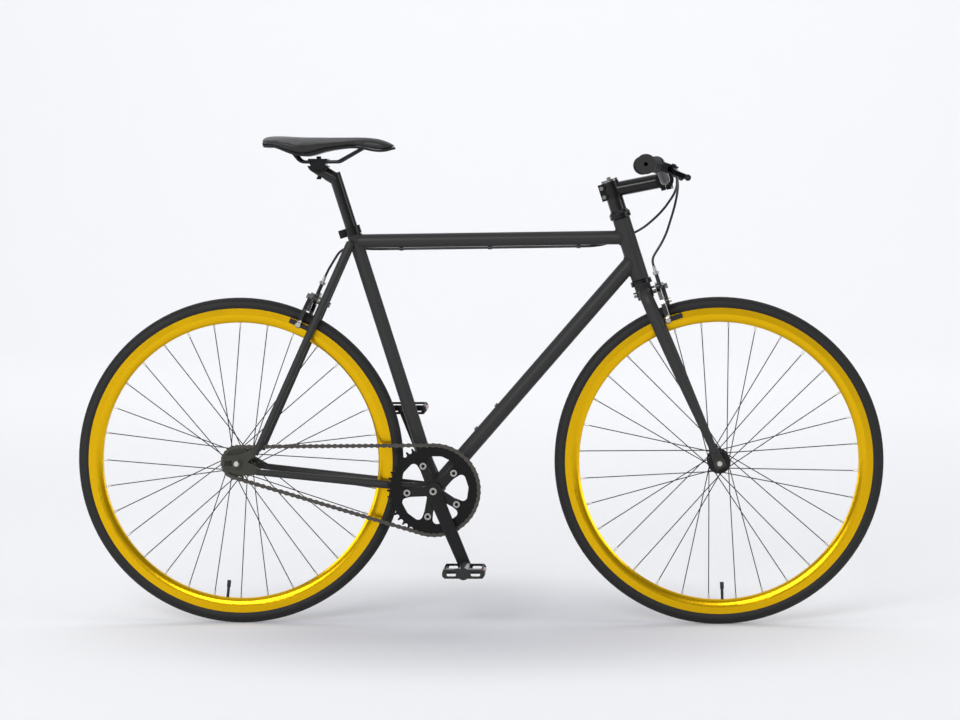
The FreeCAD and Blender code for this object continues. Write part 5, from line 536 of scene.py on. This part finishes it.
# %% Give every node its finish
FINISHES = [
    (CHARCOAL, "head_tube top_tube seat_tube down_tube bottom_bracket_shell chain_stays seat_stays"),
    (CHARCOAL, "stay_bridges fork_blades fork_steerer"),
    (OLIVE_STEEL, "rear_track_ends rear_sprocket"),
    (BLACK_ALLOY, "headset stem stem_faceplate lever_perches seat_clamp crank_left"),
    (BLACK_ALLOY, "crank_right front_hub rear_hub brake_lever_right brake_lever_left saddle_rails"),
    (PEDALS["right"], "pedal_right"),
    (PEDALS["left"], "pedal_left"),
    (BRAKE_ARMS["front"], "front_brake_barrel_arm front_brake_anchor_arm"),
    (BRAKE_ARMS["rear"], "rear_brake_barrel_arm rear_brake_anchor_arm"),
    (GLOSS_BLACK, "seatpost handlebar headset_spacers"),
    (RING_BLACK, "chainring"),
    (GOLD, "front_rim rear_rim"),
    (TUBE_RUBBER, "front_tyre rear_tyre front_inner_tube rear_inner_tube"),
    (SPOKES["front"], "front_spokes"),
    (SPOKES["rear"], "rear_spokes"),
    (CHAIN_STEEL, "chain"),
    (AXLES["front"], "front_axle"),
    (AXLES["rear"], "rear_axle"),
    (DARK_STEEL, "crank_spindle bottom_bracket_cups pedal_spindles"),
    (CRANK_BOLTS, "crank_bolts"),
    (BOLT_STEEL, "bottle_bolts stem_bolts front_brake_pivot rear_brake_pivot"),
    (GRIP_RUBBER, "grips"),
    (HOUSING_BLACK, "front_brake_housing rear_steering_housing rear_brake_housing cable_clips"),
    (SHELL_PLASTIC, "saddle_base saddle"),
]
dressed = set()
for material, names in FINISHES:
    for name in names.split():
        NODES[name].data.materials.clear()
        NODES[name].data.materials.append(material)
        dressed.add(name)
assert dressed == set(NODES), f"nodes without a finish: {sorted(set(NODES) - dressed)}"
print("dressed nodes:", len(dressed))

# %% [markdown]
# ## Tyres
# A narrow road tyre is a round casing of black rubber with small slits cut into both shoulders. The
# casing could be a torus primitive, but a circle spun about the axle gives rows of faces that can be
# picked by their angle. Every second face of the shoulder rows is inset and sunk to make the slits.

# %% Model the tyres
FULL_TURN = 2 * math.pi
X_AXIS = Vector((1, 0, 0))
TYRE_SEGMENTS = 36
TYRE_STEPS = 240
SLIT_ROWS_DEGREES = ((30, 42), (50, 62))
SLIT_MARGIN = 1.3 * MM
SLIT_DEPTH = 0.9 * MM
TYRE_RUBBER = Finish("tyre rubber", (0.009, 0.009, 0.0088), 0.62, grain=1300, spread=0.12,
                     depth=0.12 * MM, Specular_IOR_Level=0.35).material


def is_slit(face, centre, ring_radius):
    """Whether a face lies in a shoulder row and is one of every second face round the wheel."""
    middle = face.calc_center_median() - centre
    outward = Vector((middle.x, 0, middle.z)).length - ring_radius
    angle = math.degrees(abs(math.atan2(middle.y, outward)))
    step = int((math.atan2(middle.z, middle.x) / FULL_TURN + 1) * TYRE_STEPS)
    return any(start < angle < end and (step + row) % 2 == 0
               for row, (start, end) in enumerate(SLIT_ROWS_DEGREES))


def tyre(wheel, centre):
    low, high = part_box(f"{wheel}_tyre")
    section = (high.y - low.y) / 2
    ring_radius = (high.z - low.z) / 2 - section
    bm = bmesh.new()
    place = Matrix.Translation(centre + X_AXIS * ring_radius)
    bmesh.ops.create_circle(bm, segments=TYRE_SEGMENTS, radius=section, matrix=place)
    bmesh.ops.spin(bm, geom=bm.verts[:] + bm.edges[:], cent=centre, axis=Y_AXIS, angle=FULL_TURN,
                   steps=TYRE_STEPS, use_merge=True)
    bmesh.ops.remove_doubles(bm, verts=bm.verts, dist=MERGE_DISTANCE)
    bmesh.ops.recalc_face_normals(bm, faces=bm.faces)
    slits = [face for face in bm.faces if is_slit(face, centre, ring_radius)]
    bmesh.ops.inset_individual(bm, faces=slits, thickness=SLIT_MARGIN, depth=-SLIT_DEPTH)
    piece = finish_piece(f"{wheel}_tyre_casing", bm, f"{wheel}_wheel", TYRE_RUBBER)
    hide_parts(f"{wheel}_tyre")
    print(piece.name, "faces", len(piece.data.polygons), "slits", len(slits))


for wheel, centre in WHEELS.items():
    tyre(wheel, centre)

# %% [markdown]
# ## Saddle
# The saddle is a foam cushion on a stiff shell, with a thin black cover pulled tight over it. The cover
# has a small pebbled grain. Noise would look like sand, so the distance to the edges of Voronoi cells
# is used as its height.

# %% The saddle's cover
CELL_SCALE = 520.0
CELL_DEPTH = 0.25 * MM
CELL_STRENGTH = 0.35
leather = Finish("black saddle cover", (0.008, 0.008, 0.0085), 0.4, grain=900, spread=0.1,
                 Sheen_Weight=0.06)
cells = add_node(leather.tree, "ShaderNodeTexVoronoi", feature="DISTANCE_TO_EDGE")
cells.inputs["Scale"].default_value = CELL_SCALE
leather.tree.links.new(leather.place, cells.inputs["Vector"])
leather.bump(cells.outputs["Distance"], CELL_DEPTH, CELL_STRENGTH)
print("cover finish:", leather.material.name)

# %% [markdown]
# The node already has the cushion's crown and drawn-in sides, but it is made of long flat facets, which
# can't stretch evenly. The cushion could be modelled again from a grid. Remeshing a copy is shorter and
# keeps the outline: it gives small even cells all over.

# %% Remesh the cushion
SADDLE_VOXEL = 3.5 * MM


def evaluated_mesh(obj):
    """The mesh of an object with its modifiers applied."""
    graph = bpy.context.evaluated_depsgraph_get()
    return bpy.data.meshes.new_from_object(obj.evaluated_get(graph))


blank = add_object("cushion_blank", mesh_from("cushion_blank", merged_copy("saddle")))
remesh = blank.modifiers.new("even cells", "REMESH")
remesh.mode = "VOXEL"
remesh.voxel_size = SADDLE_VOXEL
cushion = add_object("cushion_cover", evaluated_mesh(blank))
bpy.data.objects.remove(blank)
print("cushion points:", len(cushion.data.vertices))

# %% [markdown]
# A short cloth run with a little pressure lets the cover stretch over the foam. It needs pins: points
# just above the shell, where the cushion is glued, are pinned fully. Each other point's way is capped,
# so that the cover stays on the foam. The result is written into the mesh and the cloth is removed, so
# nothing is left to simulate.

# %% Stretch the cover
PLAN_SQUARE = 12 * MM
PIN_HEIGHT = 2.5 * MM
COVER_GROWTH = 1.6 * MM
SADDLE_FRAMES = 20
COVER_CLOTH = {"quality": 5, "mass": 0.25, "tension_stiffness": 30, "compression_stiffness": 30,
               "bending_stiffness": 6, "use_pressure": True, "uniform_pressure_force": 3}


def plan_square(point):
    return round(point.x / PLAN_SQUARE), round(point.y / PLAN_SQUARE)


def glued_points(points):
    """The numbers of the points near the lowest point of their small square of the plan."""
    levels = {}
    for point in points:
        key = plan_square(point)
        levels[key] = min(levels.get(key, point.z), point.z)
    return [index for index, point in enumerate(points)
            if point.z < levels[plan_square(point)] + PIN_HEIGHT]


def stretch_cover(obj):
    rest = [vertex.co.copy() for vertex in obj.data.vertices]
    pins = obj.vertex_groups.new(name="glued")
    pins.add(glued_points(rest), 1.0, "REPLACE")
    cloth = obj.modifiers.new("cover", "CLOTH")
    for setting, value in COVER_CLOTH.items():
        setattr(cloth.settings, setting, value)
    cloth.settings.vertex_group_mass = pins.name
    cloth.settings.effector_weights.gravity = 0
    cloth.point_cache.frame_end = SADDLE_FRAMES
    for number in range(1, SADDLE_FRAMES + 1):
        bpy.context.scene.frame_set(number)
    moved = evaluated_mesh(obj)
    furthest = 0.0
    for start, end, vertex in zip(rest, moved.vertices, obj.data.vertices):
        way = end.co - start
        furthest = max(furthest, way.length)
        if way.length > COVER_GROWTH:
            way *= COVER_GROWTH / way.length
        vertex.co = start + way
    obj.modifiers.remove(cloth)
    bpy.context.scene.frame_set(1)
    bpy.data.meshes.remove(moved)
    obj.vertex_groups.clear()
    print("cover stretched; furthest wish", round(furthest / MM, 2), "mm")


stretch_cover(cushion)
print("cover points:", len(cushion.data.vertices))

# %% [markdown]
# A tight cover has no steps, but the remeshed cells leave some. Rounds of smoothing take them away, and
# a subdivision gives an even skin. A finer remesh would need many more points for the same look.

# %% Smooth the saddle and finish it
SMOOTH_ROUNDS = 4
SMOOTH_FACTOR = 0.5
SKIN_LEVELS = 1
bm = bmesh.new()
bm.from_mesh(cushion.data)
for _ in range(SMOOTH_ROUNDS):
    bmesh.ops.smooth_vert(bm, verts=bm.verts, factor=SMOOTH_FACTOR, use_axis_x=True, use_axis_y=True,
                          use_axis_z=True)
bpy.data.objects.remove(cushion)
saddle = finish_piece("saddle_cushion", bm, "seat", leather.material)
skin = saddle.modifiers.new("even skin", "SUBSURF")
skin.levels = SKIN_LEVELS
skin.render_levels = SKIN_LEVELS
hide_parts("saddle")
print("saddle faces", len(saddle.data.polygons))

# %% [markdown]
# ## Weld beads
# The frame tubes are joined by welds: a small rounded bead runs round each tube where it meets the
# next. Its path could be drawn by eye, but it is where one cylinder pierces another, so it can be
# worked out. For that, each tube is described by two points on its middle line and a radius. The points
# are those that the solids were built from, and the radii are measured on the nodes.

# %% The lines of the frame tubes
CRANK_AXLE = pivot("crank_spin")
HEAD_LOW = Vector((0.33401, 0, 0.714834))
HEAD_HIGH = pivot("steering_turn")
SEAT_TOP = Vector((-0.26146, 0, 0.821804))
TOP_TUBE_FRONT = Vector((0.306947, 0, 0.800668))
TOP_TUBE_REAR = Vector((-0.25274, 0, 0.794146))
DOWN_TUBE_FRONT = Vector((0.32108, 0, 0.755844))


def half_width(node):
    """Half the width of a node across the bicycle: the radius of a straight tube."""
    low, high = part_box(node)
    return (high.y - low.y) / 2


TOP_RADIUS = half_width("top_tube")
DOWN_RADIUS = half_width("down_tube")
SEAT_RADIUS = half_width("seat_tube")
SHELL_LOW, SHELL_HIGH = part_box("bottom_bracket_shell")
HEAD_SURFACE = (HEAD_LOW, HEAD_HIGH, half_width("head_tube"))
SEAT_SURFACE = (CRANK_AXLE, SEAT_TOP, SEAT_RADIUS)
SHELL_SURFACE = (CRANK_AXLE, CRANK_AXLE + Y_AXIS, (SHELL_HIGH.z - SHELL_LOW.z) / 2)
print("shell radius", round(SHELL_SURFACE[2] / MM, 2), "mm")

# %% [markdown]
# A bead could be a row of small balls. A curve with a round bevel is lighter and is made in one go. Its
# radius ripples a little from point to point, as a hand-laid bead does. The curve is turned into a mesh
# at once, because the pieces are all meshes.

# %% Helpers for a bead
BEVEL_RESOLUTION = 3


def slide_to_surface(start, run, surface):
    """Where a line from start along run first meets a cylinder."""
    axis_start, axis_end, radius = surface
    axis = (axis_end - axis_start).normalized()
    offset = start - axis_start
    across = offset - axis * offset.dot(axis)
    sideways = run - axis * run.dot(axis)
    slope = sideways.length_squared
    half = across.dot(sideways)
    inside = max(half * half - slope * (across.length_squared - radius ** 2), 0)
    return start + run * ((-half - math.sqrt(inside)) / slope)


def ring_mesh(name, path, radius, swell):
    """A closed round cord along a list of points, as a mesh. The swell is its radius by number."""
    curve = bpy.data.curves.new(name, "CURVE")
    curve.dimensions = "3D"
    curve.bevel_depth = radius
    curve.bevel_resolution = BEVEL_RESOLUTION
    curve.use_fill_caps = False
    spline = curve.splines.new("POLY")
    spline.points.add(len(path) - 1)
    spline.use_cyclic_u = True
    for number, (point, place) in enumerate(zip(spline.points, path)):
        point.co = (*place, 1)
        point.radius = swell(number)
    holder = add_object(name, curve)
    mesh = evaluated_mesh(holder)
    bpy.data.objects.remove(holder)
    return mesh


level_point = slide_to_surface(TOP_TUBE_REAR, X_AXIS, HEAD_SURFACE)
print("a level line from the seat meets the head tube at", [round(v, 3) for v in level_point])

# %% [markdown]
# Each point of a bead starts on the side of a tube and slides along the tube to the surface of the
# other one. Going once round the tube gives the whole path. Five joints of the frame get a bead.

# %% Lay the weld beads
BEAD_RADIUS = 2.1 * MM
BEAD_POINTS = 192
BEAD_RIPPLE = 0.14
BEAD_RIPPLES = 40


def bead_swell(number):
    return 1 + BEAD_RIPPLE * math.sin(FULL_TURN * BEAD_RIPPLES / BEAD_POINTS * number)


def weld_bead(name, start, end, radius, surface):
    run = (end - start).normalized()
    side = run.orthogonal().normalized()
    path = []
    for number in range(BEAD_POINTS):
        ray = Matrix.Rotation(FULL_TURN * number / BEAD_POINTS, 3, run) @ side
        path.append(slide_to_surface(start + ray * radius, run, surface))
    mesh = ring_mesh(name, path, BEAD_RADIUS, bead_swell)
    place_mesh(name, mesh, "frame", CHARCOAL)


weld_bead("weld_top_tube_head", TOP_TUBE_REAR, TOP_TUBE_FRONT, TOP_RADIUS, HEAD_SURFACE)
weld_bead("weld_top_tube_seat", TOP_TUBE_FRONT, TOP_TUBE_REAR, TOP_RADIUS, SEAT_SURFACE)
weld_bead("weld_down_tube_head", CRANK_AXLE, DOWN_TUBE_FRONT, DOWN_RADIUS, HEAD_SURFACE)
weld_bead("weld_down_tube_shell", DOWN_TUBE_FRONT, CRANK_AXLE, DOWN_RADIUS, SHELL_SURFACE)
weld_bead("weld_seat_tube_shell", SEAT_TOP, CRANK_AXLE, SEAT_RADIUS, SHELL_SURFACE)

# %% [markdown]
# ## The steering housing
# One brake housing runs from the bar to the frame, so it bends when the bar turns. Bones along it could
# do that. Here a merged copy of its node is shown in its place, and the node itself is hidden.

# %% Copy the steering housing
bm = merged_copy("rear_steering_housing")
bmesh.ops.recalc_face_normals(bm, faces=bm.faces)
bending_housing = show_mesh("bending_housing", mesh_from("bending_housing", bm), HOUSING_BLACK)
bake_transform(bending_housing)
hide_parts("rear_steering_housing")
print("bending housing points", len(bending_housing.data.vertices))

# %% [markdown]
# ## Barrel adjusters
# The housing of each brake ends in a small steel ferrule on top of a knurled barrel that trims the
# cable. A bump could fake the knurl, but its outline would stay round. Here it is a cylinder whose side
# faces are inset and sunk one by one. It sits at the top of the arm's own barrel, along the cable.

# %% Model the adjusters
Z_AXIS = Vector((0, 0, 1))
BARREL_TOP = 36 * MM
KNURL_RADIUS = 6.4 * MM
KNURL_LENGTH = 6 * MM
KNURL_RIBS = 18
RIB_MARGIN = 0.25 * MM
RIB_DEPTH = 0.3 * MM
FERRULE_RADIUS = 3.4 * MM
FERRULE_LENGTH = 11 * MM
FERRULE_SEGMENTS = 32
FERRULE_LIFT = 0.4 * MM
FERRULE_BODIES = {"front": "steering", "rear": "frame"}


def turned_piece(radius, length, segments, start, up):
    """A cylinder that starts at a point and runs along a direction."""
    bm = bmesh.new()
    upright = Matrix.Translation(start) @ up.to_track_quat("Z", "Y").to_matrix().to_4x4()
    bmesh.ops.create_cone(bm, cap_ends=True, segments=segments, radius1=radius, radius2=radius,
                          depth=length, matrix=upright @ Matrix.Translation(Z_AXIS * length / 2))
    return bm


for brake, (seat, out, up, cable) in BRAKES.items():
    top = cable + up * BARREL_TOP
    knurl = turned_piece(KNURL_RADIUS, KNURL_LENGTH, KNURL_RIBS, top - up * KNURL_LENGTH, up)
    sides = [face for face in knurl.faces if len(face.verts) == 4]
    bmesh.ops.inset_individual(knurl, faces=sides, thickness=RIB_MARGIN, depth=-RIB_DEPTH)
    finish_piece(f"{brake}_barrel_adjuster", knurl, f"{brake}_barrel_arm", BRIGHT_STEEL,
                 False)
    ferrule = turned_piece(FERRULE_RADIUS, FERRULE_LENGTH, FERRULE_SEGMENTS, top + up * FERRULE_LIFT, up)
    finish_piece(f"{brake}_housing_ferrule", ferrule, FERRULE_BODIES[brake], BRIGHT_STEEL)
    print(brake, "barrel top at", [round(value, 4) for value in top])

# %% [markdown]
# ## Stage
# The picture is a plain studio shot: pale backdrop, soft light from above and a faint shadow under
# the wheels. Lamps as soft as these leave hardly any shadow. Harder lamps would give one with an edge,
# so the paper itself is a little darker under the wheels and fades to its own colour around them.

# %% The backdrop's paper
PAPER_WHITE = (0.83, 0.835, 0.85)
PAPER_SHADE = (0.56, 0.565, 0.6)
PAPER_GLOW = (0.9, 0.91, 0.94, 1)
GLOW_STRENGTH = 0.12
SHADE_LENGTH = 0.95
SHADE_DEPTH = 0.85
SHADE_CORE = 0.25
paper = Finish("pale backdrop paper", PAPER_WHITE, 0.85, grain=40, spread=0.02,
               Emission_Color=PAPER_GLOW, Emission_Strength=GLOW_STRENGTH)
spot = add_node(paper.tree, "ShaderNodeVectorMath", operation="MULTIPLY")
paper.tree.links.new(paper.place, spot.inputs[0])
spot.inputs[1].default_value = (1 / SHADE_LENGTH, 1 / SHADE_DEPTH, 1)
away = add_node(paper.tree, "ShaderNodeVectorMath", operation="LENGTH")
paper.tree.links.new(spot.outputs["Vector"], away.inputs[0])
fade = add_node(paper.tree, "ShaderNodeMapRange", interpolation_type="SMOOTHSTEP")
paper.tree.links.new(away.outputs["Value"], fade.inputs["Value"])
fade.inputs["From Min"].default_value = SHADE_CORE
paper.mix_colour(fade.outputs["Result"], PAPER_SHADE, PAPER_WHITE)
print("paper:", paper.material.name)

# %% [markdown]
# A studio backdrop is one sheet of paper that bends up behind the object, so no horizon shows. Two
# planes would leave a line where they meet. A profile is drawn instead, a line, a quarter turn and a
# wall, and the whole profile is drawn out sideways.

# %% The backdrop's sheet
SHEET_FRONT = -16.0
SHEET_BACK = 9.0
SHEET_BEND = 4.0
SHEET_HEIGHT = 11.0
SHEET_HALF_WIDTH = 20.0
BEND_STEPS = 24


def new_points(geometry):
    return [item for item in geometry if isinstance(item, bmesh.types.BMVert)]


bm = bmesh.new()
corner = bm.verts.new((-SHEET_HALF_WIDTH, SHEET_FRONT, 0))
bend = bm.verts.new((-SHEET_HALF_WIDTH, SHEET_BACK, 0))
bm.edges.new((corner, bend))
arc = bmesh.ops.spin(bm, geom=[bend], cent=(-SHEET_HALF_WIDTH, SHEET_BACK, SHEET_BEND), axis=X_AXIS,
                     angle=math.pi / 2, steps=BEND_STEPS)
wall = bmesh.ops.extrude_vert_indiv(bm, verts=new_points(arc["geom_last"]))
bmesh.ops.translate(bm, verts=wall["verts"], vec=Z_AXIS * (SHEET_HEIGHT - SHEET_BEND))
sheet = bmesh.ops.extrude_edge_only(bm, edges=bm.edges[:])
bmesh.ops.translate(bm, verts=new_points(sheet["geom"]), vec=X_AXIS * 2 * SHEET_HALF_WIDTH)
backdrop = show_mesh("backdrop", mesh_from("backdrop", bm), paper.material)
print("backdrop faces", len(backdrop.data.polygons))

# %% [markdown]
# Large soft lamps give the long pale streaks on the tubes. A sky picture could do so too, but lamps can
# be set one by one. One hangs above, one stands on the camera side, two strips stand at the ends, and
# the last one washes the backdrop. A weak pale world fills what they leave dark.

# %% Lamps
MIDDLE = (0, 0, 0.5)
WORLD_COLOUR = (0.93, 0.945, 1.0, 1)
WORLD_STRENGTH = 0.25
LAMPS = [  # name, place, target, width and height in metres, power in watts
    ("top light", (0, -0.4, 4.2), MIDDLE, 6, 4, 40),
    ("camera side light", (-2.3, -10.0, 5.0), MIDDLE, 5, 3.5, 620),
    ("left strip", (-4.2, -1.5, 1.8), MIDDLE, 1.5, 3, 40),
    ("right strip", (4.2, -1.5, 1.8), MIDDLE, 1.5, 3, 40),
    ("backdrop wash", (0, 5.5, 8.5), (0, 10.5, 1.0), 18, 5, 720),
]


def aim(obj, place, target):
    """Puts a lamp or camera in its place and turns it to a target."""
    obj.location = place
    obj.rotation_euler = (Vector(target) - Vector(place)).to_track_quat("-Z", "Y").to_euler()


for name, place, target, width, height, power in LAMPS:
    light = bpy.data.lights.new(name, "AREA")
    light.shape = "RECTANGLE"
    light.size = width
    light.size_y = height
    light.energy = power
    aim(add_object(name, light), place, target)
world = bpy.data.worlds.new("pale studio")
world.use_nodes = True
background = world.node_tree.nodes["Background"]
background.inputs["Color"].default_value = WORLD_COLOUR
background.inputs["Strength"].default_value = WORLD_STRENGTH
bpy.context.scene.world = world
print("lamps:", len(bpy.data.lights))

# %% [markdown]
# The camera looks at the chain side from a little above the axles, with a long lens from far away, so
# both wheels look almost round. A near camera would stretch them. The Standard view keeps white paper
# white and the gold strong, as a catalogue picture does.

# %% Camera
CAMERA_PLACE = (0.265, -6.0, 0.921)
CAMERA_TARGET = (0.003, 0, 0.548)
CAMERA_ROLL = math.radians(-0.2)
LENS = 109.1
SENSOR_WIDTH = 36
camera_data = bpy.data.cameras.new("camera")
camera_data.lens = LENS
camera_data.sensor_width = SENSOR_WIDTH
camera = add_object("camera", camera_data)
aim(camera, CAMERA_PLACE, CAMERA_TARGET)
camera.rotation_euler.rotate_axis("Z", CAMERA_ROLL)
bpy.context.scene.camera = camera
bpy.context.scene.view_settings.view_transform = "Standard"
print("camera at", tuple(round(v, 3) for v in camera.location))
